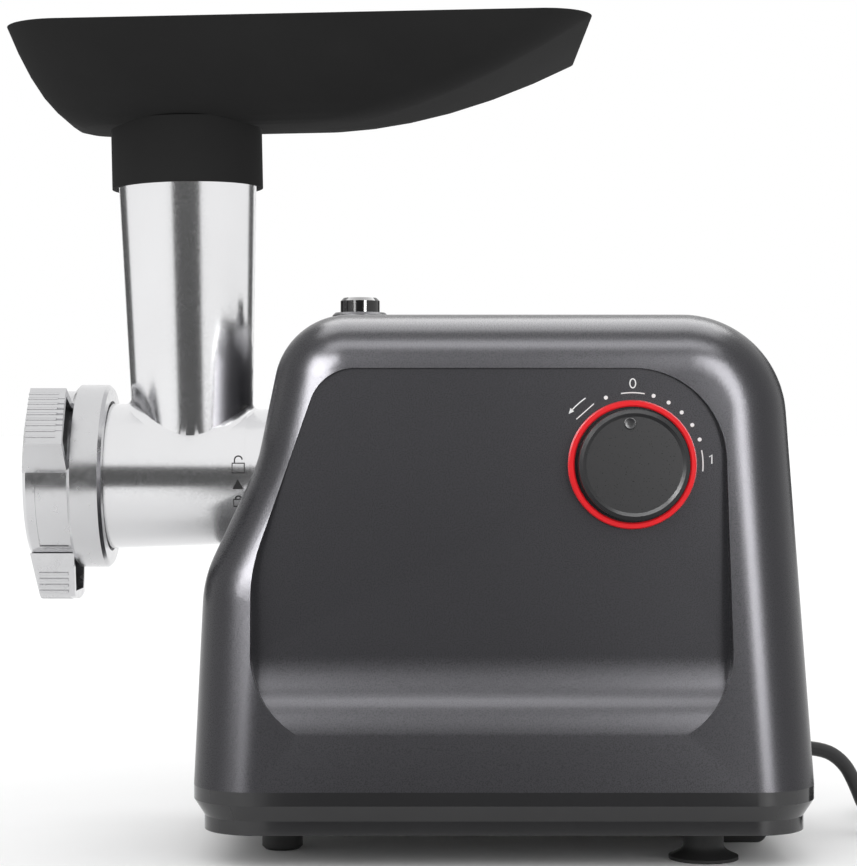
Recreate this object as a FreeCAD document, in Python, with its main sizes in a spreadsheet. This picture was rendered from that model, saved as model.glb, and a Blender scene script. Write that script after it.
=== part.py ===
import FreeCAD, Part
import math
import os

import Sketcher

# Electric meat grinder: +X to the rear, -Y to the side with the dial, +Z up, standing on z = 0
# Driving dimensions in millimetres, positions measured from the origin under the middle of the part
DIMENSIONS = {
    # Moulded housing: side profile, taper of the sides and rounds
    "housing_foot": 28.4,
    "housing_top": 202,
    "housing_front": 80.6,
    "housing_rear": 148.3,
    "chin_front": 77.4,
    "chin_height": 104,
    "throat_front": 57.8,
    "throat_height": 146,
    "top_front": 46.6,
    "top_rear": 136.9,
    "chin_round": 45,
    "throat_round": 60,
    "crown_front_round": 28,
    "crown_rear_round": 39,
    "housing_half_width": 72,
    "top_half_width": 60.4,
    "side_round": 24,
    "wall": 2.6,
    # Recessed side panel and the cove at its foot
    "panel_half_width": 60.8,
    "panel_top": 181.4,
    "panel_foot": 44.8,
    "panel_front": 58.5,
    "panel_front_top": 33,
    "panel_kink": 108,
    "panel_rear": 117,
    "panel_rear_top": 113.5,
    "panel_round_foot": 33,
    "panel_round_kink": 60,
    "panel_round_front": 17,
    "panel_round_rear": 34,
    "cove_height": 32,
    # Base pan, feet and screws
    "pan_foot": 12.2,
    "pan_band": 5.2,
    "pan_ledge": 6,
    "pan_inset": 3.9,
    "pan_floor": 2.5,
    "pan_rim": 9,
    "vent_x": 50,
    "vent_length": 44,
    "vent_width": 3.2,
    "vent_pitch": 9,
    "front_foot_x": 49.5,
    "front_foot_y": 24,
    "foot_radius": 7.7,
    "rear_foot_x": 108,
    "rear_foot_y": 45,
    "suction_radius": 12.9,
    "suction_height": 5.3,
    "stem_radius": 7.5,
    "pad_front": 112,
    "pad_rear": 136.3,
    "pad_half_width": 12.3,
    "pad_round": 4,
    "base_screw_front": 36,
    "base_screw_rear": 78,
    "base_screw_radius": 2,
    "base_screw_head": 3.6,
    # Speed dial
    "dial_x": 80.2,
    "dial_z": 146.2,
    "dial_ring_outer": 23.5,
    "dial_ring_inner": 21.1,
    "dial_ring_height": 2.4,
    "knob_radius": 20,
    "knob_face_radius": 18.6,
    "knob_height": 11,
    "knob_dish": 0.9,
    "knob_stem": 3,
    "switch_width": 26,
    "switch_depth": 17,
    "switch_bush": 5,
    # Release button and latch
    "button_x": 20.7,
    "button_radius": 7.7,
    "button_top": 210.4,
    "button_travel": 4,
    "button_stem": 3.2,
    "boss_radius": 10.8,
    "boss_top": 204.6,
    "guide_floor": 186,
    "guide_floor_depth": 2.4,
    "spring_wire": 0.8,
    "spring_turns": 3,
    "latch_depth": 2,
    "latch_half_width": 31.5,
    "latch_tooth": 2.4,
    "latch_tooth_width": 8,
    # Drive axis and grinding head
    "drive_z": 141,
    "barrel_front": 144,
    "barrel_radius": 28.3,
    "thread_radius": 28.9,
    "thread_length": 25,
    "neck_radius": 26,
    "neck_shoulder": 64,
    "neck_rear": 16,
    "barrel_bore": 24,
    "barrel_end_wall": 14,
    "tail_hole": 12,
    "tube_x": 85.6,
    "tube_lean": 1.2,
    "tube_top": 270,
    "tube_top_radius": 27.3,
    "tube_foot_radius": 22.7,
    "tube_wall": 3,
    "screw_flight": 23.4,
    "screw_core": 9,
    "screw_pitch": 30,
    "flight_foot": 7,
    "flight_tip": 3.6,
    "plate_radius": 26.5,
    "plate_thickness": 5,
    "plate_proud": 0.5,
    "plate_hole": 4,
    "knife_thickness": 3.2,
    "knife_blade": 9,
    "knife_square": 8,
    # Ring nut
    "nut_front_lip": 2.5,
    "nut_opening": 22,
    "nut_drum_radius": 32.8,
    "nut_drum_length": 17,
    "nut_flange_radius": 35.5,
    "nut_flange_length": 12.8,
    "nut_lug_radius": 47.7,
    "nut_lug_width": 24,
    "nut_lug_foot_width": 30,
    "nut_rib": 0.8,
    "nut_rib_pitch": 2.3,
    # Food tray, in the frame of the feed tube
    "tray_front": 59.2,
    "tray_rear": 155,
    "tray_half_width": 75,
    "tray_corner": 20,
    "tray_depth": 31.4,
    "tray_flat_front": 29,
    "tray_flat_rear": 58,
    "tray_flat_half_width": 14,
    "tray_flat_corner": 11,
    "tray_keel": 5.8,
    "tray_wall": 2.4,
    "collar_radius": 29.3,
    "collar_length": 17,
    "tray_hole": 22.6,
    # Socket, gears and motor
    "socket_front": 48,
    "socket_radius": 30,
    "socket_flange": 4,
    "socket_flange_half": 42,
    "socket_rear": 24,
    "socket_pillar_y": 37,
    "socket_pillar_z": 34,
    "gear_plate_front": 12,
    "gear_plate_depth": 4,
    "gear_plate_half_width": 46,
    "gear_plate_high": 182,
    "gear_gap": 24,
    "gear_cover_depth": 3,
    "pillar_radius": 4.2,
    "gear_screw_radius": 1.9,
    "gear_screw_head": 3.6,
    "gear_screw_head_depth": 2.2,
    "gear_screw_high_y": 28,
    "gear_screw_high_z": 177,
    "gear_screw_low_y": 38,
    "gear_screw_low_z": 40,
    "gear_side_gap": 2,
    "gear_cover_foot": 34,
    "output_module": 1.5,
    "output_teeth": 48,
    "idler_small_teeth": 12,
    "input_module": 1,
    "idler_large_teeth": 45,
    "pinion_teeth": 9,
    "output_gear_depth": 12,
    "input_gear_depth": 6,
    "shaft_radius": 8,
    "shaft_journal": 5,
    "socket_head_radius": 11,
    "drive_square": 10,
    "bush_wall": 3,
    "idler_pin_radius": 4,
    "idler_pin_head": 6,
    "motor_radius": 30,
    "motor_length": 73,
    "motor_wall": 3,
    "rotor_radius": 24,
    "motor_shaft": 2.5,
    "fan_radius": 26,
    "fan_depth": 10,
    # Mains lead
    "cord_radius": 2.8,
    "gland_y": 6,
    "gland_z": 34,
    "gland_radius": 5,
    "gland_tip_radius": 4.2,
    "gland_reach": 2.4,
    "gland_inside": 18,
    "lead_run": 10.2,
    "lead_landing": 40.4,
    "coil_outer": 39,
    "coil_pitch": 6.2,
    "coil_turns": 6.25,
    "coil_lift": 4.2,
    "tail_drop": 22,
    "plug_axis": 6.2,
    "tie_width": 8,
    "tie_thickness": 0.9,
    "plug_length": 36,
    "plug_width": 26,
    "plug_height": 12,
    "plug_pin_radius": 2,
    "plug_pin_length": 19,
    "plug_pin_spacing": 19,
    # Broken edges and clearances
    "edge_break": 1.2,
    "fine_break": 0.5,
    "running_gap": 0.05,
    "slide_gap": 0.3,
    "free_gap": 0.6,
}

doc = FreeCAD.newDocument("meat_grinder")
sheet = doc.addObject("Spreadsheet::Sheet", "Sizes")
for row, (alias, number) in enumerate(DIMENSIONS.items(), 1):
    sheet.set(f"A{row}", alias)
    sheet.set(f"B{row}", str(number))
    sheet.setAlias(f"B{row}", alias)
doc.recompute()


class Size:
    """A length together with the sheet expression that gives it."""

    def __init__(self, value, text):
        self.value = value
        self.text = text

    def __add__(self, other):
        other = as_size(other)
        return Size(self.value + other.value, f"({self.text} + {other.text})")

    def __sub__(self, other):
        other = as_size(other)
        return Size(self.value - other.value, f"({self.text} - {other.text})")

    def __mul__(self, other):
        other = as_size(other)
        return Size(self.value * other.value, f"({self.text} * {other.text})")

    def __truediv__(self, other):
        other = as_size(other)
        return Size(self.value / other.value, f"({self.text} / {other.text})")

    def __neg__(self):
        return Size(-self.value, f"(0 - {self.text})")

    def __radd__(self, other):
        return as_size(other) + self

    def __rsub__(self, other):
        return as_size(other) - self

    def __rmul__(self, other):
        return as_size(other) * self


def as_size(number):
    if isinstance(number, Size):
        return number
    return Size(float(number), repr(float(number)))


class Sheet:
    """The driving dimensions as sizes, by name."""

    def __getattr__(self, alias):
        return Size(float(sheet.get(alias)), f"Sizes.{alias}")


dim = Sheet()
origin = FreeCAD.Vector(0, 0, 0)
x_axis = FreeCAD.Vector(1, 0, 0)
y_axis = FreeCAD.Vector(0, 1, 0)
z_axis = FreeCAD.Vector(0, 0, 1)
no_turn = FreeCAD.Rotation()
z_to_x = FreeCAD.Rotation(y_axis, 90)
x_to_z = FreeCAD.Rotation(y_axis, -90)
z_to_near = FreeCAD.Rotation(x_axis, 90)


def bind(thing, **properties):
    """Bind properties to the sheet; a double underscore in a name stands for a dot."""
    for name, number in properties.items():
        thing.setExpression(name.replace("__", "."), as_size(number).text)


def place(thing, x=0, y=0, z=0, turn=no_turn):
    thing.Placement = FreeCAD.Placement(origin, turn)
    bind(thing, Placement__Base__x=x, Placement__Base__y=y, Placement__Base__z=z)
    doc.recompute()
    return thing


def new_body(label):
    body = doc.addObject("PartDesign::Body", label)
    body.Label = label
    return body


def new_sketch(body, role, offset=0):
    """A sketch on one of the body's own planes, moved along the plane's normal."""
    sketch = body.newObject("Sketcher::SketchObject", f"{body.Name}_sketch")
    plane = next(item for item in body.Origin.OriginFeatures if item.Role == role)
    sketch.AttachmentSupport = (plane, [""])
    sketch.MapMode = "FlatFace"
    bind(sketch, AttachmentOffset__Base__z=offset)
    return sketch


def pin_point(sketch, geometry, position, x, y):
    """Fix one point of a sketch at sheet sizes."""
    for kind, axis, number in (("DistanceX", -2, x), ("DistanceY", -1, y)):
        if not isinstance(number, Size) and number == 0:
            sketch.addConstraint(Sketcher.Constraint("PointOnObject", geometry, position, axis))
            continue
        number = as_size(number)
        index = sketch.addConstraint(
            Sketcher.Constraint(kind, -1, 1, geometry, position, number.value))
        sketch.setExpression(f"Constraints[{index}]", number.text)


def draw_polygon(sketch, corners):
    """Straight closed outline through (x, y) corners."""
    first = sketch.GeometryCount
    count = len(corners)
    points = [FreeCAD.Vector(as_size(x).value, as_size(y).value, 0) for x, y in corners]
    sides = [Part.LineSegment(points[i], points[(i + 1) % count]) for i in range(count)]
    sketch.addGeometry(sides, False)
    for i, (x, y) in enumerate(corners):
        following = first + (i + 1) % count
        sketch.addConstraint(Sketcher.Constraint("Coincident", first + i, 2, following, 1))
        pin_point(sketch, first + i, 1, x, y)


def draw_circle(sketch, radius, x=0, y=0):
    radius = as_size(radius)
    centre = FreeCAD.Vector(as_size(x).value, as_size(y).value, 0)
    circle = sketch.addGeometry(Part.Circle(centre, z_axis, radius.value), False)
    index = sketch.addConstraint(Sketcher.Constraint("Radius", circle, radius.value))
    sketch.setExpression(f"Constraints[{index}]", radius.text)
    pin_point(sketch, circle, 3, x, y)


def draw_rounded_rectangle(sketch, left, right, low, high, corner):
    """Rectangle with four equal round corners, drawn anticlockwise from the lower side."""
    left, right, low, high, corner = [as_size(n) for n in (left, right, low, high, corner)]
    x0, x1, y0, y1, r = [n.value for n in (left, right, low, high, corner)]
    ends = [((x0 + r, y0), (x1 - r, y0)), ((x1, y0 + r), (x1, y1 - r)),
            ((x1 - r, y1), (x0 + r, y1)), ((x0, y1 - r), (x0, y0 + r))]
    centres = [(x1 - r, y0 + r), (x1 - r, y1 - r), (x0 + r, y1 - r), (x0 + r, y0 + r)]
    for (start, end) in ends:
        line = Part.LineSegment(FreeCAD.Vector(*start, 0), FreeCAD.Vector(*end, 0))
        sketch.addGeometry(line, False)
    for quarter, centre in enumerate(centres):
        begin = math.radians(90 * quarter - 90)
        circle = Part.Circle(FreeCAD.Vector(*centre, 0), z_axis, r)
        sketch.addGeometry(Part.ArcOfCircle(circle, begin, begin + math.pi / 2), False)
    for i in range(4):
        arc = 4 + i
        sketch.addConstraint(Sketcher.Constraint("Tangent", i, 2, arc, 1))
        sketch.addConstraint(Sketcher.Constraint("Tangent", arc, 2, (i + 1) % 4, 1))
        sketch.addConstraint(Sketcher.Constraint(("Horizontal", "Vertical")[i % 2], i))
    for arc in (5, 6, 7):
        sketch.addConstraint(Sketcher.Constraint("Equal", 4, arc))
    radius = sketch.addConstraint(Sketcher.Constraint("Radius", 4, r))
    sketch.setExpression(f"Constraints[{radius}]", corner.text)
    for line, kind, number in ((0, "DistanceY", low), (1, "DistanceX", right),
                               (2, "DistanceY", high), (3, "DistanceX", left)):
        index = sketch.addConstraint(Sketcher.Constraint(kind, -1, 1, line, 1, number.value))
        sketch.setExpression(f"Constraints[{index}]", number.text)


def revolve(body, profile, axis="V_Axis"):
    """Full turn of an (x, z) outline about the vertical or the horizontal sketch axis."""
    sketch = new_sketch(body, "XZ_Plane")
    draw_polygon(sketch, profile)
    turn = body.newObject("PartDesign::Revolution", f"{body.Name}_turn")
    turn.Profile = sketch
    turn.ReferenceAxis = (sketch, [axis])
    turn.Angle = 360
    doc.recompute()
    return turn


def lathe(label, profile, axis="V_Axis"):
    body = new_body(label)
    revolve(body, profile, axis)
    return body


def pad(body, sketch, length, both_ways=False):
    feature = body.newObject("PartDesign::Pad", f"{body.Name}_pad")
    feature.Profile = sketch
    bind(feature, Length=length)
    feature.Midplane = both_ways
    doc.recompute()
    return feature


def pocket(body, sketch, length=None, backwards=False):
    """Cut a sketch out of the body, right through where no length is given."""
    before = body.Tip
    feature = body.newObject("PartDesign::Pocket", f"{body.Name}_pocket")
    feature.Profile = sketch
    feature.Reversed = backwards
    if length is None:
        feature.Type = "ThroughAll"
        feature.Midplane = True
    else:
        bind(feature, Length=length)
    doc.recompute()
    if feature.Shape.Volume >= before.Shape.Volume:
        raise RuntimeError(f"{feature.Name} cuts nothing")
    return feature


def loft(body, sketches, ruled=False):
    feature = body.newObject("PartDesign::AdditiveLoft", f"{body.Name}_loft")
    feature.Profile = sketches[0]
    feature.Sections = sketches[1:]
    feature.Ruled = ruled
    doc.recompute()
    return feature


STEPS_PER_TURN = 16


def flat_thread(name, outline, pitch, turns):
    """Flat-faced thread: an (x, radius) outline carried round the X axis in equal steps."""
    steps = round(turns.value * STEPS_PER_TURN)
    rings = []
    for step in range(steps + 1):
        angle = 2 * math.pi * turns.value * step / steps
        shift = pitch.value * turns.value * step / steps
        rings.append([FreeCAD.Vector(x.value + shift, -r.value * math.sin(angle), r.value * math.cos(angle))
                      for x, r in outline])
    loops = [rings[0], rings[-1]]
    sides = len(outline)
    for ring, following in zip(rings, rings[1:]):
        for i in range(sides):
            j = (i + 1) % sides
            loops.append([ring[i], ring[j], following[j]])
            loops.append([ring[i], following[j], following[i]])
    faces = [Part.Face(Part.makePolygon(loop + loop[:1])) for loop in loops]
    thread = doc.addObject("Part::Feature", name)
    thread.Shape = Part.Solid(Part.Shell(faces))
    return thread


def pick_edges(body, wanted):
    """Edges of the body's last feature that the test picks out."""
    names = [f"Edge{i}" for i, edge in enumerate(body.Tip.Shape.Edges, 1) if wanted(edge)]
    if not names:
        raise RuntimeError(f"{body.Name} has no such edge")
    return body.Tip, names


def round_edges(body, radius, wanted):
    edges = pick_edges(body, wanted)
    feature = body.newObject("PartDesign::Fillet", f"{body.Name}_round")
    feature.Base = edges
    bind(feature, Radius=radius)
    doc.recompute()
    return feature


def bevel_edges(body, size, wanted):
    edges = pick_edges(body, wanted)
    feature = body.newObject("PartDesign::Chamfer", f"{body.Name}_bevel")
    feature.Base = edges
    bind(feature, Size=size)
    doc.recompute()
    return feature


def ring_edge(radius, height):
    """Test for the circular edges of one radius at one height of a turned body."""
    radius = as_size(radius).value
    height = as_size(height).value

    def test(edge):
        if not isinstance(edge.Curve, Part.Circle):
            return False
        same_radius = abs(edge.Curve.Radius - radius) < 1e-4
        return same_radius and abs(edge.Curve.Center.z - height) < 1e-4
    return test


def corner_edge(first, second, along="z"):
    """Test for the straight edges along one axis at one corner of an outline."""
    first = as_size(first).value
    second = as_size(second).value
    across = [axis for axis in "xyz" if axis != along]

    def test(edge):
        ends = [vertex.Point for vertex in edge.Vertexes]
        offsets = [math.hypot(getattr(p, across[0]) - first, getattr(p, across[1]) - second) for p in ends]
        return len(ends) == 2 and max(offsets) < 1e-4
    return test


def cylinder(name, radius, length, x=0, y=0, z=0, turn=no_turn):
    solid = doc.addObject("Part::Cylinder", name)
    bind(solid, Radius=radius, Height=length)
    return place(solid, x, y, z, turn)


def box(name, x, y, z):
    """Block between pairs of limits along the three axes."""
    solid = doc.addObject("Part::Box", name)
    limits = [(as_size(low), as_size(high)) for low, high in (x, y, z)]
    bind(solid, Length=limits[0][1] - limits[0][0])
    bind(solid, Width=limits[1][1] - limits[1][0])
    bind(solid, Height=limits[2][1] - limits[2][0])
    return place(solid, limits[0][0], limits[1][0], limits[2][0])


def fuse(label, pieces):
    result = doc.addObject("Part::MultiFuse", label)
    result.Label = label
    result.Shapes = pieces
    doc.recompute()
    return result


def cut(label, base, tool):
    result = doc.addObject("Part::Cut", label)
    result.Label = label
    result.Base = base
    result.Tool = tool
    doc.recompute()
    return result


def group(label, pieces):
    """Separate solids that share one node."""
    result = doc.addObject("Part::Compound", label)
    result.Label = label
    result.Links = pieces
    doc.recompute()
    return result


# Housing: the side profile at full width, tapered sides, then one large round along both side edges
BEVEL_SHARE = 0.85


def side_half_width(height, foot=dim.housing_half_width, top=dim.top_half_width):
    return foot + (top - foot) * ((height - dim.housing_foot) / (dim.housing_top - dim.housing_foot))


def side_edge(foot, top):
    """Test for the edges of the sloping side faces, apart from those at the foot."""
    def test(edge):
        first, last = edge.ParameterRange
        points = [edge.valueAt(first + (last - first) * share) for share in (0, 0.5, 1)]
        on_side = all(abs(abs(p.y) - side_half_width(as_size(p.z), foot, top).value) < 1e-3 for p in points)
        return on_side and max(p.z for p in points) > dim.housing_foot.value + 1e-3
    return test


def housing_profile(inset):
    """Corners of the side profile, each with its round, moved in by a wall."""
    top = dim.housing_top - inset
    return [(dim.housing_rear - inset, dim.housing_foot, None),
            (dim.top_rear - inset, top, dim.crown_rear_round - inset),
            (inset - dim.top_front, top, dim.crown_front_round - inset),
            (inset - dim.throat_front, dim.throat_height, dim.throat_round + inset),
            (inset - dim.chin_front, dim.chin_height, dim.chin_round - inset),
            (inset - dim.housing_front, dim.housing_foot, None)]


def make_shell_outside():
    block = new_body("shell_outside")
    corners = housing_profile(as_size(0))
    profile = new_sketch(block, "XZ_Plane")
    draw_polygon(profile, [(x, z) for x, z, _ in corners])
    foot = dim.housing_half_width
    pad(block, profile, foot * 2, both_ways=True)
    for x, z, radius in corners:
        if radius is not None:
            round_edges(block, radius, corner_edge(x, z, along="y"))
    taper = new_sketch(block, "YZ_Plane")
    for side in (-1, 1):
        draw_polygon(taper, [(side * foot, dim.housing_foot), (side * foot, dim.housing_top),
                             (side * dim.top_half_width, dim.housing_top)])
    pocket(block, taper)
    round_edges(block, dim.side_round, side_edge(foot, dim.top_half_width))
    return block


def make_shell_inside():
    """Hollow with upright sides; flat bevels, a little shorter than the rounds, follow the outside."""
    block = new_body("shell_inside")
    half_width = dim.panel_half_width - dim.wall
    corners = housing_profile(dim.wall)
    profile = new_sketch(block, "XZ_Plane")
    draw_polygon(profile, [(x, z) for x, z, _ in corners])
    pad(block, profile, half_width * 2, both_ways=True)
    for x, z, radius in corners[1:3]:
        bevel_edges(block, radius * BEVEL_SHARE, corner_edge(x, z, along="y"))
    bevel_edges(block, (dim.side_round - dim.wall) * BEVEL_SHARE, side_edge(half_width, half_width))
    return block


def make_shell():
    return cut("hollow_shell", make_shell_outside(), make_shell_inside())


def station_sketches(body, stations):
    """Rounded rectangles at heights, each with a front, rear, half width and corner."""
    sketches = []
    for height, front, rear, half_width, corner in stations:
        sketch = new_sketch(body, "XY_Plane", height)
        draw_rounded_rectangle(sketch, front, rear, -half_width, half_width, corner)
        sketches.append(sketch)
    return sketches


def make_panel_outline():
    """Outline of the side panel, with a round at each corner."""
    outline = new_body("panel_outline")
    corners = [(-dim.panel_front, dim.panel_foot, dim.panel_round_foot),
               (dim.panel_rear, dim.panel_foot, dim.panel_round_foot),
               (dim.panel_rear_top, dim.panel_top, dim.panel_round_rear),
               (-dim.panel_front_top, dim.panel_top, dim.panel_round_front),
               (-dim.panel_front, dim.panel_kink, dim.panel_round_kink)]
    sketch = new_sketch(outline, "XZ_Plane", dim.panel_half_width - dim.wall)
    draw_polygon(sketch, [(x, z) for x, z, _ in corners])
    pad(outline, sketch, dim.housing_half_width)
    for x, z, radius in corners:
        round_edges(outline, radius, corner_edge(x, z, along="y"))
    return outline


def make_panel_depth():
    """Everything outside the flat panel and the cove, an S of two equal arcs, below it."""
    depth = new_body("panel_depth")
    sketch = new_sketch(depth, "YZ_Plane", -dim.housing_front)
    cove_top = dim.panel_foot + dim.cove_height
    skirt = side_half_width(dim.panel_foot)
    outside = dim.housing_half_width * 2
    over = dim.housing_top
    corners = [(-dim.panel_half_width, cove_top), (-dim.panel_half_width, over),
               (-outside, over), (-outside, dim.panel_foot), (-skirt, dim.panel_foot)]
    points = [FreeCAD.Vector(y.value, z.value, 0) for y, z in corners]
    for start, end in zip(points, points[1:]):
        sketch.addGeometry(Part.LineSegment(start, end), False)
    reach = points[0].x - points[-1].x
    rise = points[0].y - points[-1].y
    radius = (reach ** 2 + rise ** 2) / (4 * reach)
    bend = 2 * math.atan2(reach, rise)
    upper = Part.Circle(points[0] - FreeCAD.Vector(radius, 0, 0), z_axis, radius)
    lower = Part.Circle(points[-1] + FreeCAD.Vector(radius, 0, 0), z_axis, radius)
    sketch.addGeometry(Part.ArcOfCircle(upper, -bend, 0), False)
    sketch.addGeometry(Part.ArcOfCircle(lower, math.pi - bend, math.pi), False)
    for line in range(3):
        sketch.addConstraint(Sketcher.Constraint("Coincident", line, 2, line + 1, 1))
    for line, (y, z) in enumerate(corners[:-1]):
        pin_point(sketch, line, 1, y, z)
    pin_point(sketch, 3, 2, *corners[-1])
    sketch.addConstraint(Sketcher.Constraint("Coincident", 4, 2, 0, 1))
    sketch.addConstraint(Sketcher.Constraint("Coincident", 5, 2, 3, 2))
    sketch.addConstraint(Sketcher.Constraint("Tangent", 4, 1, 5, 1))
    sketch.addConstraint(Sketcher.Constraint("Horizontal", 4, 3, 4, 2))
    sketch.addConstraint(Sketcher.Constraint("Horizontal", 5, 3, 5, 2))
    pad(depth, sketch, dim.housing_front + dim.housing_rear)
    return depth


def make_panel_recess():
    pieces = [make_panel_outline(), make_panel_depth()]
    recess = doc.addObject("Part::MultiCommon", "panel_recess")
    recess.Shapes = pieces
    far_recess = doc.addObject("Part::Mirroring", "far_panel_recess")
    far_recess.Source = recess
    far_recess.Normal = y_axis
    return [recess, far_recess]


# Places of the four screws that hold the pan to the shell
screw_y = dim.panel_half_width - dim.wall - dim.base_screw_head
screw_places = [(x, side * screw_y) for x in (-dim.base_screw_front, dim.base_screw_rear) for side in (-1, 1)]
screw_boss = dim.base_screw_head + dim.wall * 0.5
screw_top = dim.housing_foot + dim.housing_foot * 0.5


def make_housing():
    cutters = make_panel_recess()
    boss = lathe("button_boss", [(0, dim.guide_floor), (dim.boss_radius, dim.guide_floor),
                                 (dim.boss_radius, dim.boss_top - 1), (dim.boss_radius - 1, dim.boss_top),
                                 (0, dim.boss_top)])
    place(boss, -dim.button_x)
    pillars = [cylinder("shell_pillar", screw_boss, screw_top - dim.housing_foot, x, y, dim.housing_foot)
               for x, y in screw_places]
    whole = fuse("shell_with_bosses", [make_shell(), boss] + pillars)
    guide_bottom = dim.guide_floor + dim.guide_floor_depth
    cutters.append(cylinder("head_opening", dim.neck_radius + dim.free_gap * 2, dim.housing_front,
                            -dim.housing_front - dim.wall, 0, dim.drive_z, z_to_x))
    cutters.append(cylinder("switch_opening", dim.switch_bush + dim.running_gap, dim.wall * 4,
                            dim.dial_x, dim.wall * 2 - dim.panel_half_width, dim.dial_z, z_to_near))
    cutters.append(cylinder("button_opening", dim.button_radius + dim.slide_gap,
                            dim.button_top - guide_bottom, -dim.button_x, 0, guide_bottom))
    cutters.append(cylinder("stem_opening", dim.button_stem + dim.slide_gap,
                            dim.guide_floor_depth * 2, -dim.button_x, 0,
                            dim.guide_floor - dim.guide_floor_depth * 0.5))
    cutters.append(cylinder("gland_opening", dim.gland_radius, dim.wall * 6,
                            dim.housing_rear - dim.wall * 4, dim.gland_y, dim.gland_z, z_to_x))
    for x, y in screw_places:
        cutters.append(cylinder("shell_screw_hole", dim.base_screw_radius,
                                screw_top - dim.housing_foot - dim.wall, x, y, dim.housing_foot))
    return cut("housing_shell", whole, fuse("shell_cuts", cutters))


# Base pan: upper band, sloping ledge and an inset lower band, open at the top
pan_ledge_top = dim.pan_foot + dim.pan_band + dim.pan_ledge
VENT_COUNT = 6


def make_base_pan():
    body = new_body("pan_body")
    levels = [(dim.pan_foot, dim.pan_inset), (dim.pan_foot + dim.pan_band, dim.pan_inset),
              (pan_ledge_top, 0), (dim.housing_foot, 0)]
    stations = [(height, inset - dim.housing_front, dim.housing_rear - inset,
                 dim.housing_half_width - inset, dim.side_round - inset) for height, inset in levels]
    loft(body, station_sketches(body, stations), ruled=True)
    inside = new_sketch(body, "XY_Plane", dim.housing_foot)
    half = dim.housing_half_width - dim.pan_rim
    draw_rounded_rectangle(inside, dim.pan_rim - dim.housing_front, dim.housing_rear - dim.pan_rim,
                           -half, half, dim.side_round - dim.pan_rim)
    pocket(body, inside, dim.housing_foot - dim.pan_foot - dim.pan_floor)
    floor = dim.pan_foot + dim.pan_floor
    pillars = [cylinder("pan_pillar", screw_boss, dim.housing_foot - floor, x, y, floor)
               for x, y in screw_places]
    cutters = []
    head_room = dim.base_screw_head + dim.slide_gap
    for x, y in screw_places:
        cutters.append(cylinder("pan_screw_hole", dim.base_screw_radius, dim.housing_foot, x, y, 0))
        cutters.append(cylinder("pan_screw_seat", head_room, floor, x, y, 0))
    vent_row = dim.vent_pitch * (VENT_COUNT - 1) * 0.5
    for slot in range(VENT_COUNT):
        middle = dim.vent_x + dim.vent_pitch * slot - vent_row
        cutters.append(box("vent", (middle - dim.vent_width * 0.5, middle + dim.vent_width * 0.5),
                           (-dim.vent_length * 0.5, dim.vent_length * 0.5), (0, dim.housing_foot)))
    return cut("base_pan", fuse("pan_with_pillars", [body] + pillars), fuse("pan_cuts", cutters))


def make_base_screws():
    """Pan-head screws from below, threaded into the shell's pillars."""
    seat = dim.pan_foot + dim.pan_floor
    head = seat - dim.pan_floor * 0.8
    tip = screw_top - dim.wall * 1.5
    shank = dim.base_screw_radius - dim.running_gap
    screws = []
    for x, y in screw_places:
        screw = lathe("base_screw", [(0, head), (dim.base_screw_head, head), (dim.base_screw_head, seat),
                                     (shank, seat), (shank, tip - 1), (shank * 0.5, tip), (0, tip)])
        screws.append(place(screw, x, y))
    return group("base_screws", screws)


def make_feet():
    """Plain rubber feet in front, suction feet with a flared skirt behind, and a middle pad at the rear."""
    front = []
    for side in (-1, 1):
        foot = lathe("front_foot", [(0, 0), (dim.foot_radius - dim.edge_break, 0),
                                    (dim.foot_radius, dim.edge_break), (dim.foot_radius, dim.pan_foot),
                                    (0, dim.pan_foot)])
        front.append(place(foot, -dim.front_foot_x, dim.front_foot_y * side))
    rear = []
    skirt_edge = dim.edge_break
    for side in (-1, 1):
        reach = dim.suction_radius - dim.stem_radius
        flare = [(dim.stem_radius + reach * (1 - share) ** 2,
                  skirt_edge + (dim.suction_height - skirt_edge) * share) for share in (0.25, 0.5, 0.75)]
        foot = lathe("rear_foot", [(0, 0), (dim.suction_radius, 0), (dim.suction_radius, skirt_edge)] + flare
                     + [(dim.stem_radius, dim.suction_height), (dim.stem_radius, dim.pan_foot),
                        (0, dim.pan_foot)])
        rear.append(place(foot, dim.rear_foot_x, dim.rear_foot_y * side))
    block = new_body("rear_pad")
    sketch = new_sketch(block, "XZ_Plane")
    draw_polygon(sketch, [(dim.pad_front, 0), (dim.pad_rear, 0), (dim.pad_rear, dim.pan_foot),
                          (dim.pad_front, dim.pan_foot)])
    pad(block, sketch, dim.pad_half_width * 2, both_ways=True)
    round_edges(block, dim.pad_round, corner_edge(dim.pad_rear, 0, along="y"))
    round_edges(block, dim.pad_round, corner_edge(dim.pad_front, 0, along="y"))
    return [group("front_feet", front), group("rear_suction_feet", rear), block]


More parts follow.
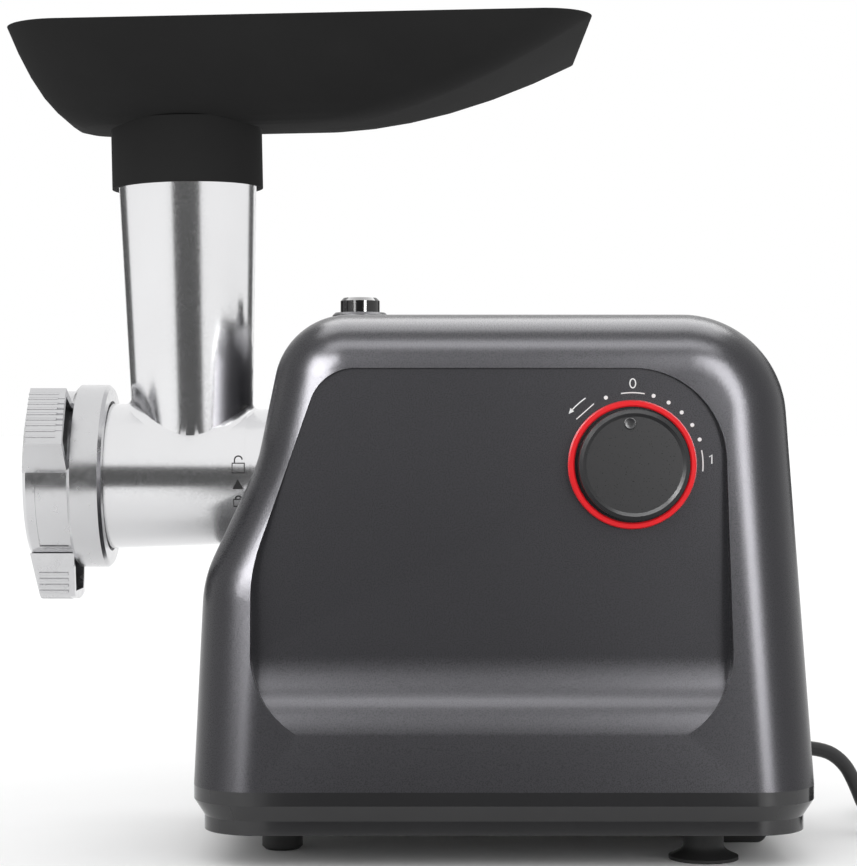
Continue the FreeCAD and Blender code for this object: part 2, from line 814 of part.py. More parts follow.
# Speed dial: local z of each turned piece points out of the near side
def make_dial():
    panel = -dim.panel_half_width
    ring = lathe("knob_ring", [(dim.dial_ring_inner, 0), (dim.dial_ring_outer, 0),
                               (dim.dial_ring_outer, dim.dial_ring_height * 0.5),
                               (dim.dial_ring_outer - dim.fine_break, dim.dial_ring_height),
                               (dim.dial_ring_inner + dim.fine_break, dim.dial_ring_height),
                               (dim.dial_ring_inner, dim.dial_ring_height - dim.fine_break)])
    place(ring, dim.dial_x, panel, dim.dial_z, z_to_near)
    stem_end = -dim.wall - dim.switch_depth * 0.6
    hollow = dim.knob_height - dim.wall
    knob = lathe("control_knob", [(0, stem_end), (dim.knob_stem, stem_end), (dim.knob_stem, hollow),
                                  (dim.knob_radius - dim.wall, hollow),
                                  (dim.knob_radius - dim.wall, dim.slide_gap),
                                  (dim.knob_radius, dim.slide_gap),
                                  (dim.knob_radius, dim.knob_height - dim.edge_break),
                                  (dim.knob_face_radius, dim.knob_height),
                                  (dim.knob_face_radius - dim.edge_break, dim.knob_height - dim.knob_dish),
                                  (0, dim.knob_height - dim.knob_dish)])
    place(knob, dim.dial_x, panel, dim.dial_z, z_to_near)
    switch = new_body("rotary_switch")
    half = dim.switch_width * 0.5
    base = new_sketch(switch, "XY_Plane", -dim.wall - dim.switch_depth)
    draw_rounded_rectangle(base, -half, half, -half, half, dim.wall)
    pad(switch, base, dim.switch_depth)
    bush = new_sketch(switch, "XY_Plane", -dim.wall - dim.switch_depth)
    draw_circle(bush, dim.switch_bush)
    pad(switch, bush, dim.switch_depth + dim.wall)
    bore = new_sketch(switch, "XY_Plane")
    draw_circle(bore, dim.knob_stem + dim.running_gap)
    pocket(switch, bore, -stem_end + dim.slide_gap)
    place(switch, dim.dial_x, panel, dim.dial_z, z_to_near)
    return [ring, knob, switch]


# Release button, its spring and the latch plate that it pushes down
guide_bottom = dim.guide_floor + dim.guide_floor_depth
button_foot = guide_bottom + dim.button_travel + dim.spring_wire * (dim.spring_turns + 2)
stem_foot = dim.guide_floor - dim.button_travel - dim.slide_gap * 2
BUTTON_DISH_SHARE = 0.66


def make_button():
    top = dim.button_top
    dish = dim.button_radius * BUTTON_DISH_SHARE
    button = lathe("release_button", [(0, stem_foot), (dim.button_stem, stem_foot),
                                      (dim.button_stem, button_foot), (dim.button_radius, button_foot),
                                      (dim.button_radius, top - dim.edge_break),
                                      (dim.button_radius - dim.edge_break, top),
                                      (dish + dim.fine_break, top), (dish, top - dim.fine_break),
                                      (0, top - dim.fine_break)])
    return place(button, -dim.button_x)


def make_button_spring():
    """Compression spring round the button's stem, between the guide's floor and the button."""
    wire = dim.spring_wire
    inner = dim.button_stem + wire
    start = dim.running_gap
    rise = button_foot - guide_bottom - wire - dim.running_gap * 2
    square = [(start, inner), (start + wire, inner), (start + wire, inner + wire), (start, inner + wire)]
    spring = flat_thread("button_spring", square, rise / dim.spring_turns, dim.spring_turns)
    return place(spring, -dim.button_x, 0, guide_bottom, x_to_z)


def make_latch():
    """Plate across the head's neck; its tooth sits in the neck's notch until the plate goes down."""
    plate = new_body("latch_plate")
    room = dim.neck_radius + dim.slide_gap * 2
    outside = new_sketch(plate, "YZ_Plane")
    low = dim.drive_z - room - dim.latch_tooth * 3
    half = dim.latch_half_width
    draw_rounded_rectangle(outside, -half, half, low, stem_foot, dim.latch_tooth * 2)
    pad(plate, outside, dim.latch_depth, both_ways=True)
    rise = dim.button_travel + dim.slide_gap * 2
    hole = new_sketch(plate, "YZ_Plane")
    draw_rounded_rectangle(hole, -room, room, dim.drive_z - room, dim.drive_z + room + rise,
                           room - dim.running_gap)
    pocket(plate, hole)
    tooth = new_sketch(plate, "YZ_Plane")
    side = dim.latch_tooth_width * 0.5
    tip = dim.drive_z - dim.neck_radius + dim.latch_tooth
    root = low + dim.latch_tooth
    draw_polygon(tooth, [(-side, root), (side, root), (side, tip), (-side, tip)])
    pad(plate, tooth, dim.latch_depth, both_ways=True)
    return place(plate, -dim.button_x)


# Grinding head: barrel along the drive axis and a leaning feed tube, one casting
barrel_front = -dim.barrel_front
thread_end = barrel_front + dim.thread_length
bore_end = -dim.neck_rear - dim.barrel_end_wall
plate_front = barrel_front - dim.plate_proud
plate_rear = plate_front + dim.plate_thickness
knife_rear = plate_rear + dim.knife_thickness + dim.running_gap
tube_lean = FreeCAD.Rotation(y_axis, -dim.tube_lean.value)
tube_height = dim.tube_top - dim.drive_z
TAIL_SHARE = 0.45


def feed_cone(name, inset):
    cone = doc.addObject("Part::Cone", name)
    bind(cone, Radius1=dim.tube_foot_radius - inset, Radius2=dim.tube_top_radius - inset, Height=tube_height)
    return place(cone, -dim.tube_x, 0, dim.drive_z, tube_lean)


def make_head():
    outside = lathe("barrel_outside", [
        (barrel_front, 0), (barrel_front, dim.thread_radius), (thread_end, dim.thread_radius),
        (thread_end, dim.barrel_radius), (-dim.neck_shoulder, dim.neck_radius + dim.slide_gap),
        (-dim.neck_shoulder, dim.neck_radius), (-dim.neck_rear, dim.neck_radius),
        (-dim.neck_rear, 0)], "H_Axis")
    place(outside, 0, 0, dim.drive_z)
    seat = dim.plate_radius + dim.slide_gap
    inside = lathe("barrel_inside", [
        (barrel_front - dim.wall, 0), (barrel_front - dim.wall, seat), (plate_rear, seat),
        (plate_rear, dim.barrel_bore), (bore_end, dim.barrel_bore), (bore_end, dim.tail_hole),
        (dim.wall - dim.neck_rear, dim.tail_hole), (dim.wall - dim.neck_rear, 0)], "H_Axis")
    place(inside, 0, 0, dim.drive_z)
    reach = dim.latch_depth * 0.5 + dim.slide_gap
    side = dim.latch_tooth_width * 0.5 + dim.slide_gap
    neck_foot = dim.drive_z - dim.neck_radius
    notch = box("latch_notch", (-dim.button_x - reach, reach - dim.button_x), (-side, side),
                (neck_foot - dim.wall, neck_foot + dim.latch_tooth + dim.slide_gap))
    casting = fuse("head_outside", [outside, feed_cone("tube_outside", 0)])
    hollow = fuse("head_inside", [inside, feed_cone("tube_inside", dim.tube_wall), notch])
    return cut("grinder_head", casting, hollow)


def make_feed_screw():
    """Worm with a helical flight, a square stub and pin in front, and a square tail for the drive."""
    worm = new_body("screw_core")
    disc = bore_end - dim.slide_gap * 2
    tail_shoulder = bore_end + dim.barrel_end_wall * TAIL_SHARE
    pin = dim.plate_hole - dim.running_gap
    tail = dim.tail_hole - dim.bush_wall - dim.running_gap
    front = knife_rear + dim.running_gap
    revolve(worm, [(plate_front, 0), (plate_front, pin), (front, pin), (front, dim.screw_core),
                   (disc - dim.wall, dim.screw_core), (disc - dim.wall, dim.screw_flight),
                   (disc, dim.screw_flight), (disc, tail), (tail_shoulder, tail),
                   (tail_shoulder, 0)], "H_Axis")
    start = front + dim.slide_gap
    bevel = (dim.flight_foot - dim.flight_tip) * 0.5
    root = dim.screw_core - dim.wall * 0.5
    turns = (disc - dim.wall - start - dim.flight_foot) / dim.screw_pitch
    flight = flat_thread("screw_flight", [(start, root), (start + dim.flight_foot, root),
                                          (start + dim.flight_foot - bevel, dim.screw_flight),
                                          (start + bevel, dim.screw_flight)], dim.screw_pitch, turns)
    stub = new_sketch(worm, "YZ_Plane", plate_rear + dim.slide_gap)
    half = dim.knife_square * 0.5 - dim.running_gap
    draw_polygon(stub, [(-half, -half), (half, -half), (half, half), (-half, half)])
    pad(worm, stub, knife_rear - plate_rear)
    square = new_sketch(worm, "YZ_Plane", tail_shoulder)
    half = dim.drive_square * 0.5 - dim.running_gap
    draw_polygon(square, [(-half, -half), (half, -half), (half, half), (-half, half)])
    pad(worm, square, -dim.gear_plate_front - dim.wall - tail_shoulder)
    return place(fuse("feed_screw", [worm, flight]), 0, 0, dim.drive_z)


def make_tail_bush():
    end = bore_end + dim.barrel_end_wall * TAIL_SHARE
    bore = dim.tail_hole - dim.bush_wall
    bush = lathe("tail_bush", [(bore_end, bore), (end, bore),
                               (end, dim.tail_hole), (bore_end, dim.tail_hole)], "H_Axis")
    return place(bush, 0, 0, dim.drive_z)


def make_knife():
    """Four-bladed cross knife on the worm's square stub."""
    knife = new_body("knife")
    reach = dim.screw_flight
    wide = dim.knife_blade * 0.5
    outline = []
    for quarter in range(4):
        along = (round(math.cos(quarter * math.pi / 2)), round(math.sin(quarter * math.pi / 2)))
        across = (-along[1], along[0])
        for distance, offset in ((wide, -wide), (reach * 0.97, -wide * 0.6), (reach, wide * 0.4)):
            outline.append((along[0] * distance + across[0] * offset,
                            along[1] * distance + across[1] * offset))
    sketch = new_sketch(knife, "YZ_Plane", plate_rear + dim.running_gap)
    draw_polygon(sketch, outline)
    pad(knife, sketch, dim.knife_thickness)
    hole = new_sketch(knife, "YZ_Plane", plate_rear)
    half = dim.knife_square * 0.5
    draw_polygon(hole, [(-half, -half), (half, -half), (half, half), (-half, half)])
    pocket(knife, hole)
    return place(knife, 0, 0, dim.drive_z)


INNER_HOLES = 3
OUTER_HOLES = 7


def make_cutting_plate():
    """Mincing plate with two rings of holes about a centre bearing."""
    plate = new_body("cutting_plate")
    disc = new_sketch(plate, "YZ_Plane", plate_front)
    draw_circle(disc, dim.plate_radius)
    draw_circle(disc, dim.plate_hole)
    pad(plate, disc, dim.plate_thickness)
    step = (dim.plate_radius - dim.plate_hole) / 2
    for ring, count in ((1, INNER_HOLES), (2, OUTER_HOLES)):
        holes = new_sketch(plate, "YZ_Plane", plate_front)
        draw_circle(holes, dim.plate_hole, 0, step * ring - dim.plate_hole * 0.25)
        drilled = pocket(plate, holes)
        pattern = plate.newObject("PartDesign::PolarPattern", "plate_holes")
        pattern.Originals = [drilled]
        pattern.Axis = (holes, ["N_Axis"])
        pattern.Angle = 360
        pattern.Occurrences = count
        plate.Tip = pattern
        doc.recompute()
    return place(plate, 0, 0, dim.drive_z)


# Ring nut: drum and rear flange with three ribbed, hollow-backed lugs
LUG_COUNT = 3
RIB_COUNT = 10
nut_front = plate_front - dim.slide_gap * 0.5 - dim.nut_front_lip
drum_end = nut_front + dim.nut_drum_length
nut_end = drum_end + dim.nut_flange_length


def lug_outline(inset):
    """Half-trapezoid pairs of a lug that points along local +Y, with a castellated tip where solid."""
    foot = dim.nut_drum_radius * 0.9
    tip = dim.nut_lug_radius - inset
    foot_half = dim.nut_lug_foot_width * 0.5 - inset
    tip_half = dim.nut_lug_width * 0.5 - inset
    left = [(-foot_half, foot), (-tip_half, tip - dim.nut_rib)]
    right = [(tip_half, tip - dim.nut_rib), (foot_half, foot)]
    return left, right, tip


def make_lug(index):
    lug = new_body("nut_lug")
    left, right, tip = lug_outline(0)
    ribs = []
    first = dim.nut_rib_pitch * (-(RIB_COUNT - 1) * 0.5)
    for rib in range(RIB_COUNT):
        middle = first + dim.nut_rib_pitch * rib
        ribs.append((middle - dim.nut_rib_pitch * 0.25, tip))
        ribs.append((middle + dim.nut_rib_pitch * 0.25, tip))
        ribs.append((middle + dim.nut_rib_pitch * 0.5, tip - dim.nut_rib))
    sketch = new_sketch(lug, "YZ_Plane", nut_front)
    draw_polygon(sketch, left + ribs + right)
    pad(lug, sketch, dim.nut_drum_length)
    back = new_sketch(lug, "YZ_Plane", drum_end)
    left, right, tip = lug_outline(dim.wall)
    draw_polygon(back, left + right)
    pocket(lug, back, dim.nut_drum_length - dim.wall * 2)
    turn = FreeCAD.Rotation(x_axis, 180 + 360 / LUG_COUNT * index)
    return place(lug, 0, 0, dim.drive_z, turn)


def make_ring_nut():
    opening = dim.nut_opening
    bore = dim.thread_radius + dim.slide_gap
    lip_end = nut_front + dim.nut_front_lip
    edge = dim.nut_front_lip * 0.5
    drum = dim.nut_drum_radius
    flange = dim.nut_flange_radius
    ring = lathe("nut_ring", [(nut_front, opening), (nut_front, drum - edge), (nut_front + edge, drum),
                              (drum_end, drum), (drum_end, flange - edge), (drum_end + edge, flange),
                              (nut_end - edge, flange), (nut_end, flange - edge), (nut_end, bore),
                              (lip_end, bore), (lip_end, opening)], "H_Axis")
    place(ring, 0, 0, dim.drive_z)
    slope = dim.nut_front_lip * 1.4
    tip = dim.nut_lug_radius
    envelope = lathe("lug_envelope", [(nut_front, drum * 0.95), (nut_front, drum), (nut_front + slope, tip),
                                      (drum_end, tip), (drum_end, drum * 0.95)], "H_Axis")
    place(envelope, 0, 0, dim.drive_z)
    lugs = fuse("nut_lugs", [make_lug(index) for index in range(LUG_COUNT)])
    shaped = doc.addObject("Part::Common", "shaped_lugs")
    shaped.Base = lugs
    shaped.Tool = envelope
    doc.recompute()
    return fuse("ring_nut", [ring, shaped])


# Food tray: a boat-shaped pan on a collar, built about the tube's top and leaning with it
TRAY_RISES = (0, 0.02, 0.07, 0.16, 0.3, 0.5, 0.74, 1)
TRAY_FRONT_BULGE = 0.28
TRAY_BULGE = 0.6


def tray_stations(inset, floor, rim):
    for rise in TRAY_RISES:
        share = rise ** TRAY_BULGE
        front = dim.tray_flat_front + (dim.tray_front - dim.tray_flat_front) * rise ** TRAY_FRONT_BULGE
        rear = dim.tray_flat_rear + (dim.tray_rear - dim.tray_flat_rear) * share
        half = dim.tray_flat_half_width + (dim.tray_half_width - dim.tray_flat_half_width) * share
        corner = dim.tray_flat_corner + (dim.tray_corner - dim.tray_flat_corner) * share
        yield (floor + (rim - floor) * rise, inset - front, rear - inset, half - inset, corner - inset)


def make_tray():
    floor = dim.tray_keel
    rim = dim.tray_keel + dim.tray_depth
    outside = new_body("tray_outside")
    loft(outside, station_sketches(outside, tray_stations(0, floor, rim)), ruled=True)
    inside = new_body("tray_inside")
    inside_stations = tray_stations(dim.tray_wall, floor + dim.tray_wall, rim)
    loft(inside, station_sketches(inside, inside_stations), ruled=True)
    collar = cylinder("tray_collar", dim.collar_radius, dim.collar_length + floor + dim.tray_wall,
                      0, 0, -dim.collar_length)
    socket = cylinder("collar_socket", dim.tube_top_radius + dim.slide_gap, dim.collar_length * 2,
                      0, 0, -dim.collar_length * 2)
    mouth = cylinder("tray_mouth", dim.tray_hole, dim.tray_depth, 0, 0, -dim.tray_wall)
    whole = fuse("tray_with_collar", [outside, collar])
    tray = cut("food_tray", whole, fuse("tray_cuts", [inside, socket, mouth]))
    lean = math.radians(dim.tube_lean.value)
    top = tube_height * math.cos(lean) + dim.drive_z
    return place(tray, -dim.tube_x - tube_height * math.sin(lean), 0, top, tube_lean)


# Drive: motor, two gear stages between a plate and a cover, and the shaft that carries the worm's square
plate_back = dim.gear_plate_depth - dim.gear_plate_front
cover_front = plate_back + dim.gear_gap
cover_back = cover_front + dim.gear_cover_depth
idler_z = dim.drive_z - dim.output_module * (dim.output_teeth + dim.idler_small_teeth) * 0.5
motor_z = idler_z - dim.input_module * (dim.idler_large_teeth + dim.pinion_teeth) * 0.5
output_front = plate_back + dim.gear_side_gap
output_back = output_front + dim.output_gear_depth
input_front = output_back + dim.gear_side_gap
input_back = input_front + dim.input_gear_depth
gear_screw_places = [(side * y, z)
                     for y, z in ((dim.gear_screw_high_y, dim.gear_screw_high_z),
                                  (dim.gear_screw_low_y, dim.gear_screw_low_z))
                     for side in (-1, 1)]
ADDENDUM = 0.75
DEDENDUM = 1.1
TIP_SHARE = 0.11
ROOT_SHARE = 0.3
FAN_BLADES = 8


def gear(label, module, teeth, front, back, bore):
    """Spur gear about X with straight-sided teeth, the first of them pointing up."""
    wheel = new_body(label)
    pitch_radius = module * teeth * 0.5
    root = pitch_radius - module * DEDENDUM
    disc = new_sketch(wheel, "YZ_Plane", front)
    draw_circle(disc, root)
    draw_circle(disc, bore)
    pad(wheel, disc, back - front)
    tooth = new_sketch(wheel, "YZ_Plane", front)
    foot_half = module * (math.pi * ROOT_SHARE)
    tip_half = module * (math.pi * TIP_SHARE)
    foot = root - module * (DEDENDUM - ADDENDUM)
    tip = pitch_radius + module * ADDENDUM
    draw_polygon(tooth, [(-foot_half, foot), (foot_half, foot), (tip_half, tip), (-tip_half, tip)])
    first = pad(wheel, tooth, back - front)
    pattern = wheel.newObject("PartDesign::PolarPattern", f"{label}_teeth")
    pattern.Originals = [first]
    pattern.Axis = (tooth, ["N_Axis"])
    pattern.Angle = 360
    bind(pattern, Occurrences=teeth)
    wheel.Tip = pattern
    doc.recompute()
    return wheel


def turned(wheel, height, angle):
    return place(wheel, 0, 0, height, FreeCAD.Rotation(x_axis, angle))


def make_gears():
    """Each tooth that points at the next axis meets a gap there."""
    output = gear("output_gear", dim.output_module, dim.output_teeth, output_front, output_back,
                  dim.shaft_radius + dim.running_gap)
    turned(output, dim.drive_z, 180)
    pin_bore = dim.idler_pin_radius + dim.running_gap
    small = gear("idler_small", dim.output_module, dim.idler_small_teeth, output_front, input_front, pin_bore)
    turned(small, 0, 180 / dim.idler_small_teeth.value)
    large = gear("idler_large", dim.input_module, dim.idler_large_teeth, input_front, input_back, pin_bore)
    turned(large, 0, 180)
    idler = place(fuse("idler_gear", [small, large]), 0, 0, idler_z)
    overlap = dim.gear_side_gap * 0.5
    pinion = gear("motor_pinion", dim.input_module, dim.pinion_teeth, input_front - overlap,
                  input_back + overlap, dim.motor_shaft + dim.running_gap)
    turned(pinion, motor_z, 180 / dim.pinion_teeth.value)
    return [output, idler, pinion]


def make_gear_plate():
    """Steel plate on the pan's floor that carries the socket, the bush and the idler's pin."""
    plate = new_body("gear_plate")
    outline = new_sketch(plate, "YZ_Plane", -dim.gear_plate_front)
    draw_rounded_rectangle(outline, -dim.gear_plate_half_width, dim.gear_plate_half_width,
                           dim.pan_foot + dim.pan_floor, dim.gear_plate_high, dim.pillar_radius)
    pad(plate, outline, dim.gear_plate_depth)
    holes = new_sketch(plate, "YZ_Plane", -dim.gear_plate_front)
    draw_circle(holes, dim.shaft_radius + dim.bush_wall, 0, dim.drive_z)
    draw_circle(holes, dim.idler_pin_radius, 0, idler_z)
    for y, z in gear_screw_places:
        draw_circle(holes, dim.gear_screw_radius + dim.running_gap, y, z)
    pocket(plate, holes)
    return plate


def make_gear_cover():
    """Rear cover of the gears on four hollow pillars; the motor is flanged to its back."""
    cover = new_body("cover_plate")
    outline = new_sketch(cover, "YZ_Plane", cover_front)
    draw_rounded_rectangle(outline, -dim.gear_plate_half_width, dim.gear_plate_half_width,
                           dim.gear_cover_foot, dim.gear_plate_high, dim.pillar_radius)
    pad(cover, outline, dim.gear_cover_depth)
    pillars = [cylinder("gear_pillar", dim.pillar_radius, dim.gear_gap, plate_back, y, z, z_to_x)
               for y, z in gear_screw_places]
    thickness = dim.gear_cover_depth * 2
    start = cover_back - thickness
    cutters = [cylinder("gear_screw_hole", dim.gear_screw_radius + dim.running_gap, dim.gear_gap,
                        plate_back - dim.gear_cover_depth, y, z, z_to_x) for y, z in gear_screw_places]
    for radius, z in ((dim.shaft_journal + dim.running_gap, dim.drive_z), (dim.idler_pin_radius, idler_z),
                      (dim.motor_shaft + dim.free_gap, motor_z)):
        cutters.append(cylinder("cover_hole", radius, thickness * 2, start, 0, z, z_to_x))
    return cut("gear_cover", fuse("cover_with_pillars", [cover] + pillars), fuse("cover_cuts", cutters))


def make_gear_screws():
    seat = -dim.gear_plate_front
    head = seat - dim.gear_screw_head_depth
    tip = plate_back + dim.gear_gap * 0.5
    screws = []
    for y, z in gear_screw_places:
        screw = lathe("gear_screw", [(head, 0), (head, dim.gear_screw_head), (seat, dim.gear_screw_head),
                                     (seat, dim.gear_screw_radius), (tip, dim.gear_screw_radius),
                                     (tip, 0)], "H_Axis")
        screws.append(place(screw, 0, y, z))
    return group("gear_screws", screws)


def make_shafts():
    """Idler pin with a head on the plate, flanged bush, and the stepped drive shaft with a square socket."""
    front = -dim.gear_plate_front
    pin = lathe("idler_pin", [(front - dim.gear_side_gap, 0), (front - dim.gear_side_gap, dim.idler_pin_head),
                              (front, dim.idler_pin_head), (front, dim.idler_pin_radius),
                              (cover_back, dim.idler_pin_radius), (cover_back, 0)], "H_Axis")
    place(pin, 0, 0, idler_z)
    flange = plate_back + dim.gear_side_gap * 0.5
    bore = dim.shaft_radius + dim.running_gap
    outside = dim.shaft_radius + dim.bush_wall
    bush = lathe("shaft_bush", [(front, bore), (front, outside), (plate_back, outside),
                                (plate_back, outside + dim.bush_wall), (flange, outside + dim.bush_wall),
                                (flange, bore)], "H_Axis")
    place(bush, 0, 0, dim.drive_z)
    shaft = new_body("drive_shaft")
    mouth = bore_end + dim.barrel_end_wall * TAIL_SHARE + dim.slide_gap
    head_end = front - dim.slide_gap
    step = cover_front - dim.slide_gap
    revolve(shaft, [(mouth, 0), (mouth, dim.socket_head_radius), (head_end, dim.socket_head_radius),
                    (head_end, dim.shaft_radius), (step, dim.shaft_radius), (step, dim.shaft_journal),
                    (cover_back, dim.shaft_journal), (cover_back, 0)], "H_Axis")
    square = new_sketch(shaft, "YZ_Plane", mouth)
    half = dim.drive_square * 0.5
    draw_polygon(square, [(-half, -half), (half, -half), (half, half), (-half, half)])
    pocket(shaft, square, front - mouth - dim.gear_side_gap, backwards=True)
    place(shaft, 0, 0, dim.drive_z)
    return [pin, bush, shaft]


def make_head_socket():
    """Receiver of the grinding head: a sleeve on a square flange that stands off the gear plate."""
    bore = dim.neck_radius + dim.slide_gap
    rear = -dim.socket_rear
    flange_front = rear - dim.socket_flange
    sleeve = lathe("socket_sleeve", [(-dim.socket_front, bore), (-dim.socket_front, dim.socket_radius),
                                     (rear, dim.socket_radius), (rear, bore)], "H_Axis")
    place(sleeve, 0, 0, dim.drive_z)
    half = dim.socket_flange_half
    flange = new_body("socket_flange_plate")
    outline = new_sketch(flange, "YZ_Plane", flange_front)
    draw_rounded_rectangle(outline, -half, half, -half, half, dim.pillar_radius)
    draw_circle(outline, bore)
    pad(flange, outline, dim.socket_flange)
    place(flange, 0, 0, dim.drive_z)
    pillars = []
    for y in (-dim.socket_pillar_y, dim.socket_pillar_y):
        for rise in (-dim.socket_pillar_z, dim.socket_pillar_z):
            pillars.append(cylinder("socket_pillar", dim.pillar_radius,
                                    dim.socket_rear - dim.gear_plate_front,
                                    rear, y, dim.drive_z + rise, z_to_x))
    return fuse("head_socket", [sleeve, flange] + pillars)


def make_motor():
    """Can flanged to the gear cover, rotor on a through shaft, and the fan behind it."""
    can_end = cover_back + dim.motor_length
    hole = dim.motor_shaft + dim.running_gap
    bore = dim.motor_radius - dim.motor_wall
    can = lathe("motor_can", [(cover_back, hole), (cover_back, dim.motor_radius), (can_end, dim.motor_radius),
                              (can_end, hole), (can_end - dim.motor_wall, hole),
                              (can_end - dim.motor_wall, bore), (cover_back + dim.motor_wall, bore),
                              (cover_back + dim.motor_wall, hole)], "H_Axis")
    place(can, 0, 0, motor_z)
    winding = dim.motor_wall * 4
    front = input_front - dim.gear_side_gap
    fan_front = can_end + dim.gear_side_gap * 2
    fan_end = fan_front + dim.fan_depth
    rotor = lathe("motor_rotor", [(front, 0), (front, dim.motor_shaft),
                                  (cover_back + winding, dim.motor_shaft),
                                  (cover_back + winding, dim.rotor_radius),
                                  (can_end - winding, dim.rotor_radius),
                                  (can_end - winding, dim.motor_shaft), (fan_end, dim.motor_shaft),
                                  (fan_end, 0)], "H_Axis")
    place(rotor, 0, 0, motor_z)
    fan = new_body("cooling_fan")
    hub = new_sketch(fan, "YZ_Plane", fan_front)
    draw_circle(hub, dim.motor_shaft * 3)
    draw_circle(hub, hole)
    pad(fan, hub, dim.fan_depth)
    blade = new_sketch(fan, "YZ_Plane", fan_front)
    half = dim.motor_wall * 0.25
    root = dim.motor_shaft * 2.5
    draw_polygon(blade, [(-half, root), (half, root), (half, dim.fan_radius), (-half, dim.fan_radius)])
    first = pad(fan, blade, dim.fan_depth)
    pattern = fan.newObject("PartDesign::PolarPattern", "fan_blades")
    pattern.Originals = [first]
    pattern.Axis = (blade, ["N_Axis"])
    pattern.Angle = 360
    pattern.Occurrences = FAN_BLADES
    fan.Tip = pattern
    place(fan, 0, 0, motor_z)
    return [can, rotor, fan]


# Mains lead: gland in the rear wall, a lead down to the floor, a tied flat coil and the plug
LEAD_HEADINGS = (0, 32, 62, 70, 30)
CORD_SIDES = 6
gland_face = dim.housing_rear - (dim.housing_rear - dim.top_rear) * (
    (dim.gland_z - dim.housing_foot) / (dim.housing_top - dim.housing_foot))
gland_tip = gland_face + dim.gland_reach


def make_gland():
    inner = gland_face - dim.gland_inside
    gland = lathe("cord_gland", [(inner, 0), (inner, dim.gland_radius), (gland_face, dim.gland_radius),
                                 (gland_tip, dim.gland_tip_radius), (gland_tip, 0)], "H_Axis")
    return place(gland, 0, dim.gland_y, dim.gland_z)


def lead_points():
    """Corners of the lead in the gland's upright plane, ending level where the coil begins."""
    run = dim.lead_run.value
    x, z = gland_tip.value, dim.gland_z.value
    points = [(x, z)]
    for heading in LEAD_HEADINGS:
        x += run * math.cos(math.radians(heading))
        z -= run * math.sin(math.radians(heading))
        points.append((x, z))
    landing = dim.lead_landing.value
    points.append((x + landing / 2, dim.coil_lift.value))
    points.append((x + landing, dim.coil_lift.value))
    return [FreeCAD.Vector(x, dim.gland_y.value, z) for x, z in points]


def bent_path(points):
    """Straight runs joined by tangent arcs, each taking 0.45 of the shorter run beside it."""
    edges = []
    radii = []
    start = points[0]
    for before, corner, after in zip(points, points[1:], points[2:]):
        inward = (corner - before).normalize()
        outward = (after - corner).normalize()
        half_turn = inward.getAngle(outward) / 2
        reach = 0.45 * min(corner.distanceToPoint(before), corner.distanceToPoint(after))
        radii.append(reach / math.tan(half_turn))
        first, last = corner - inward * reach, corner + outward * reach
        toward_centre = (outward - inward).normalize()
        depth = radii[-1] / math.cos(half_turn) - radii[-1]
        edges.append(Part.makeLine(start, first))
        edges.append(Part.Arc(first, corner + toward_centre * depth, last).toShape())
        start = last
    edges.append(Part.makeLine(start, points[-1]))
    return edges, radii


def biarc(start, start_way, end, end_way):
    """Two arcs, tangent to each other, between two points with given directions."""
    gap = end - start
    both = gap.dot(start_way + end_way)
    bend = 2 * (1 - start_way.dot(end_way))
    if bend < 1e-9:
        reach = gap.dot(gap) / (2 * both)
    else:
        reach = (math.sqrt(both ** 2 + bend * gap.dot(gap)) - both) / bend
    first_apex, last_apex = start + start_way * reach, end - end_way * reach
    middle = (first_apex + last_apex) * 0.5
    edges = []
    for begin, apex, finish in ((start, first_apex, middle), (middle, last_apex, end)):
        chord_middle = (begin + finish) * 0.5
        turn = (apex - begin).getAngle(finish - begin)
        share = math.tan(turn / 2) / math.tan(turn)
        edges.append(Part.Arc(begin, chord_middle + (apex - chord_middle) * share, finish).toShape())
    return edges


def tube(label, edges):
    """One unbroken tube of a regular section, checked against section times length."""
    path = Part.Wire(edges)
    start = edges[0].valueAt(edges[0].FirstParameter)
    way = edges[0].tangentAt(edges[0].FirstParameter)
    turn = FreeCAD.Rotation(z_axis, way)
    corners = []
    for side in range(CORD_SIDES):
        angle = 2 * math.pi * (side + 0.5) / CORD_SIDES
        spoke = FreeCAD.Vector(math.cos(angle), math.sin(angle), 0) * dim.cord_radius.value
        corners.append(start + turn.multVec(spoke))
    section = Part.makePolygon(corners + corners[:1])
    piece = doc.addObject("Part::Feature", label)
    piece.Label = label
    piece.Shape = path.makePipeShell([section], True, False)
    expected = Part.Face(section).Area * path.Length
    print(f"{label}: length {path.Length:.1f}, volume {piece.Shape.Volume:.1f}, expected {expected:.1f}")
    return piece


def make_lead():
    edges, radii = bent_path(lead_points())
    print("cord_lead radii: " + ", ".join(f"{radius:.1f}" for radius in radii))
    return tube("cord_lead", edges)


def coil_centre():
    begin = lead_points()[-1]
    return begin + y_axis * dim.coil_outer.value


def coil_radius(turns):
    total = dim.coil_turns.value
    return dim.coil_outer.value - dim.coil_pitch.value * min(turns, total - turns)


def coil_point(turns):
    """Spiral in on the lower layer and out on the upper one, climbing over the half turn between them."""
    share = min(max((turns - dim.coil_turns.value / 2) / 0.5 + 0.5, 0), 1)
    rise = dim.coil_pitch.value * share ** 2 * (3 - 2 * share)
    angle = 2 * math.pi * turns - math.pi / 2
    spoke = FreeCAD.Vector(math.cos(angle), math.sin(angle), 0)
    return coil_centre() + spoke * coil_radius(turns) + z_axis * rise


def coil_way(turns):
    total = dim.coil_turns.value
    if turns <= 0:
        return x_axis
    if turns >= total:
        return y_axis
    step = 0.01
    return (coil_point(turns + step) - coil_point(turns - step)).normalize()


